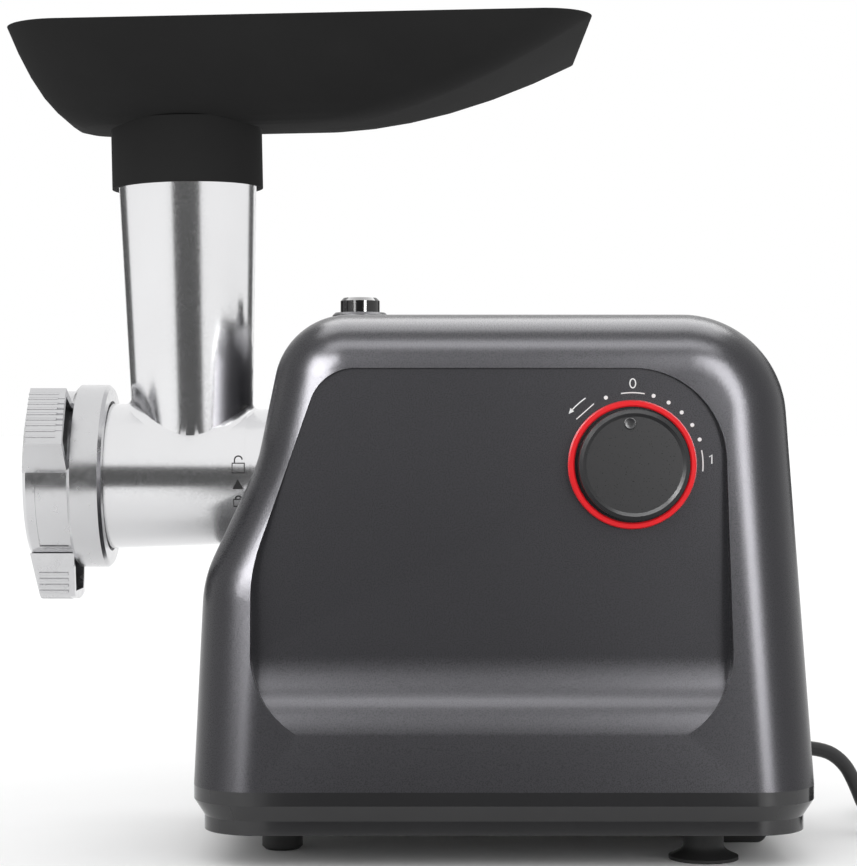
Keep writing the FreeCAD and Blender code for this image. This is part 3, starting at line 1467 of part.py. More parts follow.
def coil_least_gap():
    """Least gap between neighbouring turns, measured on points along the coil."""
    per_turn = 72
    count = round(dim.coil_turns.value * per_turn)
    points = [coil_point(i / per_turn) for i in range(count + 1)]
    near = [first.distanceToPoint(second) for i, first in enumerate(points)
            for second in points[i + per_turn // 2:]]
    return min(near) - 2 * dim.cord_radius.value


def plug_face():
    """Point and direction where the cord meets the plug."""
    end = coil_point(dim.coil_turns.value)
    ahead = dim.tail_drop.value + 2 * dim.cord_radius.value
    return FreeCAD.Vector(end.x, end.y + ahead, dim.plug_axis.value)


def make_coil():
    steps = round(dim.coil_turns.value * 4)
    nodes = [dim.coil_turns.value * step / steps for step in range(steps + 1)]
    edges = []
    for first, second in zip(nodes, nodes[1:]):
        edges += biarc(coil_point(first), coil_way(first), coil_point(second), coil_way(second))
    end = plug_face()
    tail = end - y_axis * (2 * dim.cord_radius.value)
    edges += biarc(coil_point(nodes[-1]), y_axis, tail, y_axis)
    edges.append(Part.makeLine(tail, end))
    print(f"cord_coil least gap {coil_least_gap():.2f}")
    return tube("cord_coil", edges)


def make_tie():
    """Flat band round the coil's strands on its far side."""
    quarter = [0.5 + turn for turn in range(int(dim.coil_turns.value))]
    radii = [coil_radius(turns) for turns in quarter]
    room = dim.cord_radius + dim.slide_gap
    centre = coil_centre()
    near, far = centre.y + min(radii) - room, centre.y + max(radii) + room
    low, high = dim.coil_lift - room, dim.coil_lift + dim.coil_pitch + room
    half = dim.tie_width * 0.5
    band = dim.tie_thickness
    x = (centre.x - half, centre.x + half)
    outside = box("tie_outside", x, (near - band, far + band), (low - band, high + band))
    inside = box("tie_inside", (x[0] - band, x[1] + band), (near, far), (low, high))
    return cut("cord_tie", outside, inside)


def make_plug():
    face = plug_face()
    body = new_body("plug_body")
    half = dim.plug_width * 0.5
    sketch = new_sketch(body, "XY_Plane")
    draw_rounded_rectangle(sketch, -half, half, 0, dim.plug_length, dim.plug_height * 0.25)
    pad(body, sketch, dim.plug_height)
    place(body, face.x, face.y, dim.slide_gap * 0.5)
    far = face.y + dim.plug_length
    pins = []
    for side in (-0.5, 0.5):
        pins.append(cylinder("plug_pin", dim.plug_pin_radius, dim.plug_pin_length,
                             face.x + dim.plug_pin_spacing * side, far + dim.plug_pin_length,
                             dim.plug_axis, z_to_near))
    return [body, group("plug_pins", pins)]


def make_all():
    pieces = [make_housing(), make_base_pan(), make_base_screws()]
    pieces += make_feet() + make_dial()
    pieces += [make_button(), make_button_spring(), make_latch()]
    pieces += [make_head(), make_feed_screw(), make_tail_bush(), make_knife(), make_cutting_plate()]
    pieces += [make_ring_nut(), make_tray()]
    pieces += make_gears() + [make_gear_plate(), make_gear_cover(), make_gear_screws()]
    pieces += make_shafts() + [make_head_socket()] + make_motor()
    pieces += [make_gland(), make_lead(), make_coil(), make_tie()] + make_plug()
    return pieces


def check_document():
    doc.recompute()
    for thing in doc.Objects:
        if "Invalid" in thing.State or "Error" in thing.State:
            raise RuntimeError(f"{thing.Name} did not compute: {thing.State}")


def export(pieces):
    os.makedirs("parts", exist_ok=True)
    for piece in pieces:
        if piece.Shape.isNull() or not piece.Shape.isValid() or not piece.Shape.Solids:
            raise RuntimeError(f"{piece.Label} has no valid solid")
        piece.Shape.exportStep(os.path.join("parts", f"{piece.Label}.step"))
        print(f"{piece.Label}: {len(piece.Shape.Solids)} solid, {piece.Shape.Volume:.0f} mm3")


if __name__ == "__main__":
    subparts = make_all()
    check_document()
    export(subparts)
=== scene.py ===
import math

import bmesh
import bpy
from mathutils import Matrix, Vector


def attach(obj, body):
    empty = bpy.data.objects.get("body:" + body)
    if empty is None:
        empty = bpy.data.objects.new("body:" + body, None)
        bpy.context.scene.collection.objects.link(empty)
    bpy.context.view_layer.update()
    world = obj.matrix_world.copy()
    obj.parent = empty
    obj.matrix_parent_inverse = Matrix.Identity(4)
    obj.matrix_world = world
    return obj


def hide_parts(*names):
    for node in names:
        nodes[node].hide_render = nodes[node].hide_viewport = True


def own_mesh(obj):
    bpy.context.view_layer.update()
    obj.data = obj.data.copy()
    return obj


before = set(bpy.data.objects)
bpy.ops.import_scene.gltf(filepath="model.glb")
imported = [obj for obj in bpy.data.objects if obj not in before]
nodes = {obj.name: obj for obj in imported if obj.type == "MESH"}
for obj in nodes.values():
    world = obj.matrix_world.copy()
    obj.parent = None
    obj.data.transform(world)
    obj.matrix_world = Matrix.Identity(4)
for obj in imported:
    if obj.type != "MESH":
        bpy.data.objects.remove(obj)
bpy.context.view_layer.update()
scene = bpy.context.scene
MM = 0.001

# Main places, in metres
DRIVE_Z = 0.141
PANEL_Y = -0.0608
DIAL_X = 0.0802
DIAL_Z = 0.1462

# Procedural materials: colour, roughness and surface follow noise in object space
WANDER_SCALE = 22.0
WANDER_DETAIL = 3.0
GRAIN_DETAIL = 2.0
COLOUR_FROM, COLOUR_TO = 0.35, 0.65
VALUE_FROM, VALUE_TO = 0.3, 0.7
BUMP_STRENGTH = 0.35
COAT_ROUGHNESS = 0.12


def noise(tree, scale, detail, stretch):
    """Noise in object space, so that it stays with the piece."""
    coords = tree.nodes.new("ShaderNodeTexCoord")
    mapping = tree.nodes.new("ShaderNodeMapping")
    mapping.inputs["Scale"].default_value = stretch
    texture = tree.nodes.new("ShaderNodeTexNoise")
    texture.inputs["Scale"].default_value = scale
    texture.inputs["Detail"].default_value = detail
    tree.links.new(coords.outputs["Object"], mapping.inputs["Vector"])
    tree.links.new(mapping.outputs["Vector"], texture.inputs["Vector"])
    return texture.outputs["Fac"]


def colour_range(tree, source, low, high):
    """Spread a noise value between two colours."""
    colours = tree.nodes.new("ShaderNodeValToRGB")
    first, last = colours.color_ramp.elements
    first.position, last.position = COLOUR_FROM, COLOUR_TO
    first.color, last.color = (*low, 1), (*high, 1)
    tree.links.new(source, colours.inputs["Fac"])
    return colours.outputs["Color"]


def value_range(tree, source, low, high):
    """Spread a noise value between two numbers."""
    between = tree.nodes.new("ShaderNodeMapRange")
    between.inputs["From Min"].default_value = VALUE_FROM
    between.inputs["From Max"].default_value = VALUE_TO
    between.inputs["To Min"].default_value = low
    between.inputs["To Max"].default_value = high
    tree.links.new(source, between.inputs["Value"])
    return between.outputs["Result"]


def lift_surface(tree, surface, source, distance):
    bump = tree.nodes.new("ShaderNodeBump")
    bump.inputs["Distance"].default_value = distance
    bump.inputs["Strength"].default_value = BUMP_STRENGTH
    tree.links.new(source, bump.inputs["Height"])
    tree.links.new(bump.outputs["Normal"], surface.inputs["Normal"])


def finish_material(name, colour, vary, roughness, rough_vary, grain, bump=0.0, metallic=0.0, coat=0.0,
                    stretch=(1, 1, 1), specular=0.5, tint=(1, 1, 1)):
    """Colour and roughness wander a little over the piece; a fine grain can lift the surface."""
    made = bpy.data.materials.new(name)
    made.use_nodes = True
    tree = made.node_tree
    surface = tree.nodes["Principled BSDF"]
    wander = noise(tree, WANDER_SCALE, WANDER_DETAIL, stretch)
    low = [c * (1 - vary) for c in colour]
    high = [min(1, c * (1 + vary)) for c in colour]
    tree.links.new(colour_range(tree, wander, low, high), surface.inputs["Base Color"])
    fine = noise(tree, grain, GRAIN_DETAIL, stretch)
    tree.links.new(value_range(tree, fine, roughness - rough_vary, roughness + rough_vary),
                   surface.inputs["Roughness"])
    surface.inputs["Metallic"].default_value = metallic
    surface.inputs["Specular IOR Level"].default_value = specular
    surface.inputs["Specular Tint"].default_value = (*tint, 1)
    surface.inputs["Coat Weight"].default_value = coat
    surface.inputs["Coat Roughness"].default_value = COAT_ROUGHNESS
    if bump:
        lift_surface(tree, surface, fine, bump)
    return made


body_plastic = finish_material("satin_charcoal", (0.0176, 0.0175, 0.0195), vary=0.04, roughness=0.28,
                               rough_vary=0.03, grain=2600, bump=0.00004, specular=0.3, tint=(0.95, 0.94, 1))
pan_plastic = finish_material("pan_black", (0.02, 0.02, 0.021), vary=0.04, roughness=0.14, rough_vary=0.02,
                              grain=1800, bump=0.00001)
knob_plastic = finish_material("knob_charcoal", (0.0145, 0.0145, 0.016), vary=0.04, roughness=0.3,
                               rough_vary=0.03, grain=2000, bump=0.00002, specular=0.25)
button_plastic = finish_material("button_black", (0.012, 0.012, 0.012), vary=0.04, roughness=0.08,
                                 rough_vary=0.02, grain=900)
tray_plastic = finish_material("tray_black", (0.021, 0.021, 0.021), vary=0.05, roughness=0.75,
                               rough_vary=0.03, grain=900, bump=0.00001, specular=0.03)
foot_rubber = finish_material("foot_rubber", (0.02, 0.02, 0.02), vary=0.1, roughness=0.6, rough_vary=0.05,
                              grain=1500, bump=0.00003)
cord_rubber = finish_material("cord_rubber", (0.014, 0.014, 0.015), vary=0.1, roughness=0.4, rough_vary=0.05,
                              grain=1500, bump=0.00002)
red_trim = finish_material("red_trim", (0.95, 0.016, 0.024), vary=0.05, roughness=0.14, rough_vary=0.02,
                           grain=400, coat=0.5)
cast_metal = finish_material("polished_casting", (0.76, 0.76, 0.77), vary=0.02, roughness=0.19,
                             rough_vary=0.05, grain=1500, bump=0.00001, metallic=1.0)
nut_metal = finish_material("turned_casting", (0.62, 0.62, 0.63), vary=0.04, roughness=0.24, rough_vary=0.04,
                            grain=240, metallic=1.0)
steel = finish_material("turned_steel", (0.6, 0.6, 0.62), vary=0.04, roughness=0.3, rough_vary=0.05,
                        grain=300, metallic=1.0, stretch=(1, 8, 8))
bronze = finish_material("bronze", (0.66, 0.43, 0.2), vary=0.05, roughness=0.3, rough_vary=0.05,
                         grain=300, metallic=1.0)
gear_plastic = finish_material("gear_plastic", (0.72, 0.71, 0.66), vary=0.04, roughness=0.42, rough_vary=0.04,
                               grain=800)
white_print = finish_material("white_print", (0.8, 0.8, 0.8), vary=0.03, roughness=0.4, rough_vary=0.03,
                              grain=900)
dark_print = finish_material("dark_print", (0.02, 0.02, 0.02), vary=0.05, roughness=0.5, rough_vary=0.03,
                             grain=900)

# CAD nodes: finish, smooth faces and sharp edges; a node that isn't named is steel
FINISHES = {
    "housing_shell": body_plastic, "base_pan": pan_plastic, "control_knob": knob_plastic,
    "release_button": button_plastic, "knob_ring": red_trim, "food_tray": tray_plastic,
    "front_feet": foot_rubber, "rear_suction_feet": foot_rubber, "rear_pad": foot_rubber,
    "grinder_head": cast_metal, "ring_nut": nut_metal, "feed_screw": cast_metal,
    "tail_bush": bronze, "shaft_bush": bronze, "plug_pins": bronze,
    "output_gear": gear_plastic, "idler_gear": gear_plastic, "motor_pinion": gear_plastic,
    "cooling_fan": gear_plastic, "head_socket": gear_plastic, "rotary_switch": gear_plastic,
    "cord_gland": cord_rubber, "cord_lead": cord_rubber, "cord_coil": cord_rubber,
    "cord_tie": cord_rubber, "plug_body": cord_rubber,
}
SHARP_ANGLE = math.radians(30)
WELD_GAP = 0.000002


def smooth_group():
    """Modifier that shades smooth and keeps edges over a set angle sharp."""
    tree = bpy.data.node_groups.new("smooth_by_angle", "GeometryNodeTree")
    tree.interface.new_socket("Geometry", in_out="INPUT", socket_type="NodeSocketGeometry")
    limit = tree.interface.new_socket("Angle", in_out="INPUT", socket_type="NodeSocketFloat")
    limit.default_value = SHARP_ANGLE
    tree.interface.new_socket("Geometry", in_out="OUTPUT", socket_type="NodeSocketGeometry")
    begin = tree.nodes.new("NodeGroupInput")
    end = tree.nodes.new("NodeGroupOutput")
    faces = tree.nodes.new("GeometryNodeSetShadeSmooth")
    faces.domain = "FACE"
    edges = tree.nodes.new("GeometryNodeSetShadeSmooth")
    edges.domain = "EDGE"
    angle = tree.nodes.new("GeometryNodeInputMeshEdgeAngle")
    over = tree.nodes.new("FunctionNodeCompare")
    over.operation = "GREATER_THAN"
    edges.inputs["Shade Smooth"].default_value = False
    tree.links.new(begin.outputs["Geometry"], faces.inputs["Geometry"])
    tree.links.new(faces.outputs["Geometry"], edges.inputs["Geometry"])
    tree.links.new(angle.outputs["Unsigned Angle"], over.inputs["A"])
    tree.links.new(begin.outputs["Angle"], over.inputs["B"])
    tree.links.new(over.outputs["Result"], edges.inputs["Selection"])
    tree.links.new(edges.outputs["Geometry"], end.inputs["Geometry"])
    return tree


smoothing = smooth_group()
for name, node in nodes.items():
    node.data.materials.clear()
    node.data.materials.append(FINISHES.get(name, steel))
    if "custom_normal" in node.data.attributes:
        node.data.attributes.remove(node.data.attributes["custom_normal"])
    weld = node.modifiers.new("weld", "WELD")
    weld.merge_threshold = WELD_GAP
    shade = node.modifiers.new("smooth", "NODES")
    shade.node_group = smoothing

# Mains lead: one smooth line through the lead's corners and the coil's turns to the plug
LEAD = [(150.33, 6, 34), (160.53, 6, 34), (169.18, 6, 28.6), (173.97, 6, 19.59), (177.46, 6, 10.0),
        (186.29, 6, 4.9), (206.49, 6, 4.2)]
COIL_CENTRE = (226.69, 45)
COIL_OUTER = 39
COIL_PITCH = 6.2
COIL_TURNS = 6.25
COIL_LIFT = 4.2
CLIMB_TURNS = 0.5
CORD_RADIUS = 2.8
PLUG_AXIS = 6.2
TAIL_DROP = 22
POINTS_PER_TURN = 16


def coil_points():
    """Spiral in on the lower layer, climb within half a turn, and spiral out on the upper layer."""
    count = round(COIL_TURNS * POINTS_PER_TURN)
    for step in range(count + 1):
        turns = step / POINTS_PER_TURN
        radius = COIL_OUTER - COIL_PITCH * min(turns, COIL_TURNS - turns)
        share = min(max((turns - COIL_TURNS / 2) / CLIMB_TURNS + 0.5, 0), 1)
        height = COIL_LIFT + COIL_PITCH * share ** 2 * (3 - 2 * share)
        angle = 2 * math.pi * turns - math.pi / 2
        yield (COIL_CENTRE[0] + radius * math.cos(angle), COIL_CENTRE[1] + radius * math.sin(angle), height)


def make_cord():
    end_x = COIL_CENTRE[0] + COIL_OUTER
    start = COIL_CENTRE[1]
    top = COIL_LIFT + COIL_PITCH
    tail = [(TAIL_DROP * 0.3, top), (TAIL_DROP * 0.5, (top + PLUG_AXIS) / 2), (TAIL_DROP * 0.75, PLUG_AXIS),
            (TAIL_DROP + 2 * CORD_RADIUS, PLUG_AXIS)]
    points = LEAD + list(coil_points()) + [(end_x, start + along, height) for along, height in tail]
    curve = bpy.data.curves.new("mains_lead", "CURVE")
    curve.dimensions = "3D"
    curve.bevel_depth = CORD_RADIUS * MM
    curve.bevel_resolution = 4
    curve.use_fill_caps = True
    curve.resolution_u = 6
    spline = curve.splines.new("NURBS")
    spline.points.add(len(points) - 1)
    for point, place in zip(spline.points, points):
        point.co = (*[c * MM for c in place], 1)
    spline.order_u = 3
    spline.use_endpoint_u = True
    lead = bpy.data.objects.new("mains_lead", curve)
    scene.collection.objects.link(lead)
    lead.data.materials.append(cord_rubber)
    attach(lead, "housing")
    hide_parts("cord_lead", "cord_coil")


make_cord()


def new_piece(form, name, material):
    """Turn a finished form into a piece of the scene."""
    mesh = bpy.data.meshes.new(name)
    form.to_mesh(mesh)
    form.free()
    mesh.materials.append(material)
    piece = bpy.data.objects.new(name, mesh)
    scene.collection.objects.link(piece)
    return piece


def circle(sides):
    """Angles of evenly spaced points round a circle."""
    return [2 * math.pi * i / sides for i in range(sides)]


def above_axis(form, x, y, z):
    """New vertex at a place in millimetres from the drive axis."""
    return form.verts.new((x * MM, y * MM, DRIVE_Z + z * MM))


# Raised marks: outlines in millimetres, lifted a little from the surface that carries them
MARK_RISE = 0.12
MARK_SINK = 0.05
MARK_RADIUS = 26.2
DOT_RADIUS = 0.74
LINE_WIDTH = 0.42
THIN_LINE_WIDTH = 0.38
SIGN_WIDTH = 0.5
LOCK_HEIGHT = 0.8
LOCK_BOW = 0.62
MERGE_GAP = 1e-7
BARREL_END_X = -64
BARREL_END_RADIUS = 26.3
BARREL_TAPER = 2.0 / 55
DOT_ANGLES = (-21.5, 17.3, 30.4, 43.5, 56.6, 69.6)


def mark_piece(name, outlines, at, material, body="housing", rise=MARK_RISE):
    """Prisms on the outlines, joined without walls where they meet."""
    form = bmesh.new()
    for outline in outlines:
        low = [form.verts.new(at(x, z, -MARK_SINK)) for x, z in outline]
        high = [form.verts.new(at(x, z, rise)) for x, z in outline]
        form.faces.new(high)
        form.faces.new(low)
        for i in range(len(outline)):
            j = (i + 1) % len(outline)
            form.faces.new((low[i], low[j], high[j], high[i]))
    bmesh.ops.remove_doubles(form, verts=form.verts, dist=MERGE_GAP)
    walls = [face for face in form.faces if all(len(edge.link_faces) > 2 for edge in face.edges)]
    bmesh.ops.delete(form, geom=walls, context="FACES_ONLY")
    bmesh.ops.recalc_face_normals(form, faces=form.faces)
    piece = new_piece(form, name, material)
    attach(piece, body)


def taper_radius(x):
    """Outside of the barrel's taper."""
    return BARREL_END_RADIUS + (BARREL_END_X - x) * BARREL_TAPER


def on_panel(x, z, rise):
    return (DIAL_X + x * MM, PANEL_Y - rise * MM, DIAL_Z + z * MM)


def round_axis(x, turn, radius):
    """Place round the drive axis; the angle runs up from the near side."""
    return (x * MM, -radius * math.cos(turn) * MM, DRIVE_Z + radius * math.sin(turn) * MM)


def on_barrel(x, z, rise):
    """Wrapped round the barrel's near side; z runs up from its axis along the surface."""
    radius = taper_radius(x)
    return round_axis(x, z / radius, radius + rise)


def polar(angle, radius):
    """Point at an angle clockwise from the dial's top."""
    turn = math.radians(angle)
    return (radius * math.sin(turn), radius * math.cos(turn))


def dot(angle, sides=20):
    middle = polar(angle, MARK_RADIUS)
    return [(middle[0] + DOT_RADIUS * math.cos(turn), middle[1] + DOT_RADIUS * math.sin(turn))
            for turn in circle(sides)]


def arc(first, last, radius, steps=10):
    return [polar(first + (last - first) * i / steps, radius) for i in range(steps + 1)]


def oval(middle, half_width, half_height, sides=24):
    return [(middle[0] + half_width * math.sin(turn), middle[1] + half_height * math.cos(turn))
            for turn in circle(sides)]


def stroke(points, width, closed=False):
    """Quads of an even line through the points."""
    count = len(points)
    sides = []
    for i, (x, z) in enumerate(points):
        before = points[i - 1] if i or closed else points[i]
        after = points[(i + 1) % count] if i + 1 < count or closed else points[i]
        along = Vector((after[0] - before[0], after[1] - before[1])).normalized()
        sides.append(((x - along.y * width / 2, z + along.x * width / 2),
                      (x + along.y * width / 2, z - along.x * width / 2)))
    ends = sides[1:] + sides[:1] if closed else sides[1:]
    return [[here[0], there[0], there[1], here[1]] for here, there in zip(sides, ends)]


def padlock(x, z, size, open_by, steps=8):
    """Outline of a padlock with its shackle lifted by a share of its size."""
    half = size / 2
    bow_radius = half * LOCK_BOW
    shoulder = z + size * LOCK_HEIGHT
    body = [(x - half, z), (x + half, z), (x + half, shoulder), (x - half, shoulder)]
    top = z + size * (LOCK_HEIGHT + open_by)
    bow = [(x - bow_radius, shoulder), (x - bow_radius, top)]
    for i in range(1, steps + 1):
        turn = math.pi * i / steps
        bow.append((x - bow_radius * math.cos(turn), top + bow_radius * math.sin(turn)))
    return stroke(body, SIGN_WIDTH, closed=True) + stroke(bow, SIGN_WIDTH)


dial_rules = [(arc(-9, 10, MARK_RADIUS), LINE_WIDTH), (arc(78.3, 95.5, 25.8), LINE_WIDTH),
              ([polar(-51, MARK_RADIUS), polar(-32.2, MARK_RADIUS)], THIN_LINE_WIDTH)]
nought = stroke(oval((0.2, 29.6), 1.05, 1.65), LINE_WIDTH, closed=True)
one = stroke([(28.1, 2.8), (29.0, 3.6), (29.0, 0.3)], LINE_WIDTH)
arrow_head = [polar(-47.5, 28.7), polar(-51.5, 29.6), polar(-47.5, 30.5)]
arrow = stroke(arc(-35, -48, 29.6), LINE_WIDTH) + [arrow_head]
locks = padlock(-66.2, 1.6, 4.6, 0.3) + padlock(-66.2, -11.5, 3.6, 0.05)
pointer = [(-68.4, -4.6), (-64.2, -4.6), (-66.3, -0.8)]
mark_piece("dial_dots", [dot(angle) for angle in DOT_ANGLES], on_panel, white_print)
mark_piece("dial_lines", [quad for points, width in dial_rules for quad in stroke(points, width)], on_panel,
           white_print)
mark_piece("dial_signs", nought + one + arrow, on_panel, white_print)
mark_piece("barrel_signs", locks + [pointer], on_barrel, dark_print)

# Cast fillet between the feed tube and the barrel
NECK_RADIUS = 26
TUBE_X = -85.6
TUBE_FOOT = 22.7
TUBE_TOP = 27.3
TUBE_HEIGHT = 129
TUBE_AXIS = Vector((-0.020942, 0, 0.999781))
TUBE_SIDE = Vector((0.999781, 0, 0.020942))
SEAM_DIP = 0.2
FILLET_REACH = 3.2
FILLET_ROOT = 0.8
FILLET_STEPS = 96
FILLET_ACROSS = 7
SEAM_HIGHEST = 40.0
SEAM_HALVINGS = 30


def barrel_radius(x):
    return NECK_RADIUS if x > BARREL_END_X else taper_radius(x)


def tube_point(turn, along, out=0.0):
    """Point of the feed tube's outside at an angle and a height above the barrel's axis."""
    radius = TUBE_FOOT + (TUBE_TOP - TUBE_FOOT) * along / TUBE_HEIGHT + out
    return (Vector((TUBE_X, 0, 0)) + TUBE_AXIS * along + TUBE_SIDE * (radius * math.cos(turn))
            + Vector((0, radius * math.sin(turn), 0)))


def on_barrel_below(point):
    """The same place dropped or lifted to just under the barrel's outside."""
    radius = barrel_radius(point.x) - SEAM_DIP
    return Vector((point.x, point.y, math.sqrt(max(radius ** 2 - point.y ** 2, 0))))


def seam_height(turn):
    """Height along the tube at which it leaves the barrel."""
    low, high = 0.0, SEAM_HIGHEST
    for _ in range(SEAM_HALVINGS):
        middle = (low + high) / 2
        point = tube_point(turn, middle)
        outside = math.hypot(point.y, point.z) > barrel_radius(point.x)
        low, high = (low, middle) if outside else (middle, high)
    return low


def head_fillet():
    form = bmesh.new()
    rows = []
    for turn in circle(FILLET_STEPS):
        seam = seam_height(turn)
        corner = tube_point(turn, seam)
        upper = tube_point(turn, seam + FILLET_REACH, -SEAM_DIP)
        outer = on_barrel_below(tube_point(turn, seam, FILLET_REACH))
        row = []
        for i in range(FILLET_ACROSS + 1):
            u = i / FILLET_ACROSS
            row.append(upper * (1 - u) ** 2 + corner * 2 * u * (1 - u) + outer * u ** 2)
        row.append(tube_point(turn, seam - FILLET_ROOT, -FILLET_ROOT))
        rows.append([above_axis(form, *place) for place in row])
    for here, there in zip(rows, rows[1:] + rows[:1]):
        for i in range(len(here)):
            after = (i + 1) % len(here)
            face = form.faces.new((here[i], here[after], there[after], there[i]))
            face.smooth = i < FILLET_ACROSS
    bmesh.ops.recalc_face_normals(form, faces=form.faces)
    piece = new_piece(form, "head_fillet", cast_metal)
    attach(piece, "housing")


head_fillet()

# Ring nut: raised open frames on the drum, and finger ribs on the lugs
NUT_FRONT = -147.2
NUT_BACK = -132.6
DRUM_RADIUS = 32.8
FRAME_FRONT = NUT_FRONT + 4
FRAME_BACK = NUT_BACK + 1
FRAME_RISE = 0.35
FRAME_LINE = 0.8
FRAME_HALF_ANGLE = 24
FRAME_STEP = 4
FRAME_EDGES = (-25, 23.6)
FRAME_EDGE_ANGLE = 1.4
FRAME_ANGLES = (-30, 90, 210)
LUG_ANGLES = (-90, 30, 150)
LUG_RADIUS = 47.7
LUG_FOOT = 29.5
LUG_LENGTH = 18.2
LUG_FOOT_HALF = 15
LUG_NARROWING = 3
RIB_PITCH = 2.3
RIB_FRONT = NUT_FRONT + 3.4
RIB_HALF_WIDTH = 0.66
RIB_HEIGHT = 0.55
RIB_SINK = 0.3
RIB_SIDES = 6
TIP_RIBS = range(-4, 5)
FLANK_RIBS = range(4)
FLANK_START = 37.4


def on_drum(x, turn, rise):
    """Round the nut's drum, at an angle in degrees."""
    return round_axis(x, math.radians(turn), DRUM_RADIUS + rise)


def drum_frames():
    """Raised open frame on the drum between each two lugs."""
    line_end = FRAME_FRONT + FRAME_LINE
    quads = []
    for middle in FRAME_ANGLES:
        for low in range(middle - FRAME_HALF_ANGLE, middle + FRAME_HALF_ANGLE, FRAME_STEP):
            high = low + FRAME_STEP
            quads.append([(FRAME_FRONT, low), (line_end, low), (line_end, high), (FRAME_FRONT, high)])
        for edge in FRAME_EDGES:
            low = middle + edge
            high = low + FRAME_EDGE_ANGLE
            quads.append([(FRAME_FRONT, low), (FRAME_BACK, low), (FRAME_BACK, high), (FRAME_FRONT, high)])
    return quads


def round_bar(form, middle, across, up):
    """Half-round bar along the nut's axis, on a face whose outward direction is up."""
    ends = []
    for x in (RIB_FRONT, NUT_BACK):
        ring = []
        for i in range(RIB_SIDES + 1):
            angle = math.pi * i / RIB_SIDES
            place = middle + across * (RIB_HALF_WIDTH * math.cos(angle)) + up * (RIB_HEIGHT * math.sin(angle))
            ring.append(above_axis(form, x, place.y, place.z))
        ends.append(ring)
    front, back = ends
    for i in range(RIB_SIDES):
        form.faces.new((front[i], front[i + 1], back[i + 1], back[i]))
    form.faces.new(front)
    form.faces.new(back)
    form.faces.new((front[0], front[-1], back[-1], back[0]))


def lug_ribs():
    """Round-backed finger ribs on the tip and one flank of each lug."""
    form = bmesh.new()
    for lug in LUG_ANGLES:
        out = Vector((0, -math.cos(math.radians(lug)), math.sin(math.radians(lug))))
        side = Vector((0, out.z, -out.y))
        for rib in TIP_RIBS:
            shift = RIB_PITCH * rib
            height = math.sqrt(LUG_RADIUS ** 2 - shift ** 2) - RIB_SINK
            round_bar(form, out * height + side * shift, side, out)
        for rib in FLANK_RIBS:
            along = FLANK_START + RIB_PITCH * rib
            half = LUG_FOOT_HALF - LUG_NARROWING * (along - LUG_FOOT) / LUG_LENGTH
            round_bar(form, out * along + side * half, out, side)
    bmesh.ops.recalc_face_normals(form, faces=form.faces)
    piece = new_piece(form, "lug_ribs", nut_metal)
    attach(piece, "nut")


mark_piece("nut_frames", drum_frames(), on_drum, nut_metal, "nut", FRAME_RISE)
lug_ribs()

# Coil spring of the release button, drawn at a fixed height
SPRING_X = -20.7
SPRING_FOOT = 188.4
SPRING_HEIGHT = 7.9
SPRING_RADIUS = 4.4
SPRING_TURNS = 3
SPRING_WIRE = 0.38
SPRING_GAP = 0.05
SPRING_STEPS = 40 * SPRING_TURNS
WIRE_SIDES = 10


def coil_spring():
    form = bmesh.new()
    climb = SPRING_HEIGHT - 2 * SPRING_WIRE - 2 * SPRING_GAP
    rings = []
    for step in range(SPRING_STEPS + 1):
        turn = 2 * math.pi * SPRING_TURNS * step / SPRING_STEPS
        middle = SPRING_FOOT + SPRING_WIRE + SPRING_GAP + climb * step / SPRING_STEPS
        ring = []
        for angle in circle(WIRE_SIDES):
            out = SPRING_RADIUS + SPRING_WIRE * math.cos(angle)
            height = middle + SPRING_WIRE * math.sin(angle)
            ring.append(form.verts.new(((SPRING_X + out * math.cos(turn)) * MM, out * math.sin(turn) * MM,
                                        height * MM)))
        rings.append(ring)
    for here, there in zip(rings, rings[1:]):
        for i in range(WIRE_SIDES):
            after = (i + 1) % WIRE_SIDES
            form.faces.new((here[i], here[after], there[after], there[i]))
    form.faces.new(rings[0])
    form.faces.new(rings[-1])
    bmesh.ops.recalc_face_normals(form, faces=form.faces)
    for face in form.faces:
        face.smooth = True
    piece = new_piece(form, "coil_spring", steel)
    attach(piece, "housing")
    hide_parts("button_spring")
    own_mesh(piece)


coil_spring()

# Thumb mark on the knob's face: radius and rise of a little lip round a hollow
DIMPLE_PROFILE = [(0.9, 0.05), (1.5, 0.12), (1.85, 0.22), (2.1, 0.2), (2.25, 0.02)]
DIMPLE_FLOOR = 0.03
DIMPLE_SIDES = 32
DIMPLE_PLACE = (DIAL_X - 0.0016, PANEL_Y - 0.0101, DIAL_Z + 0.0149)


def dimple():
    x, y, z = DIMPLE_PLACE
    form = bmesh.new()
    bottom = form.verts.new((x, y - DIMPLE_FLOOR * MM, z))
    rings = []
    for radius, rise in DIMPLE_PROFILE:
        rings.append([form.verts.new((x + radius * MM * math.cos(turn), y - rise * MM,
                                      z + radius * MM * math.sin(turn))) for turn in circle(DIMPLE_SIDES)])
    pairs = [(i, (i + 1) % DIMPLE_SIDES) for i in range(DIMPLE_SIDES)]
    for i, j in pairs:
        form.faces.new((bottom, rings[0][i], rings[0][j]))
    for inner, outer in zip(rings, rings[1:]):
        for i, j in pairs:
            form.faces.new((inner[i], outer[i], outer[j], inner[j]))
    for face in form.faces:
        face.smooth = True
    form.faces.new(rings[-1])
    bmesh.ops.recalc_face_normals(form, faces=form.faces)
    piece = new_piece(form, "knob_dimple", knob_plastic)
    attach(piece, "knob")
    return piece


thumb_mark = dimple()

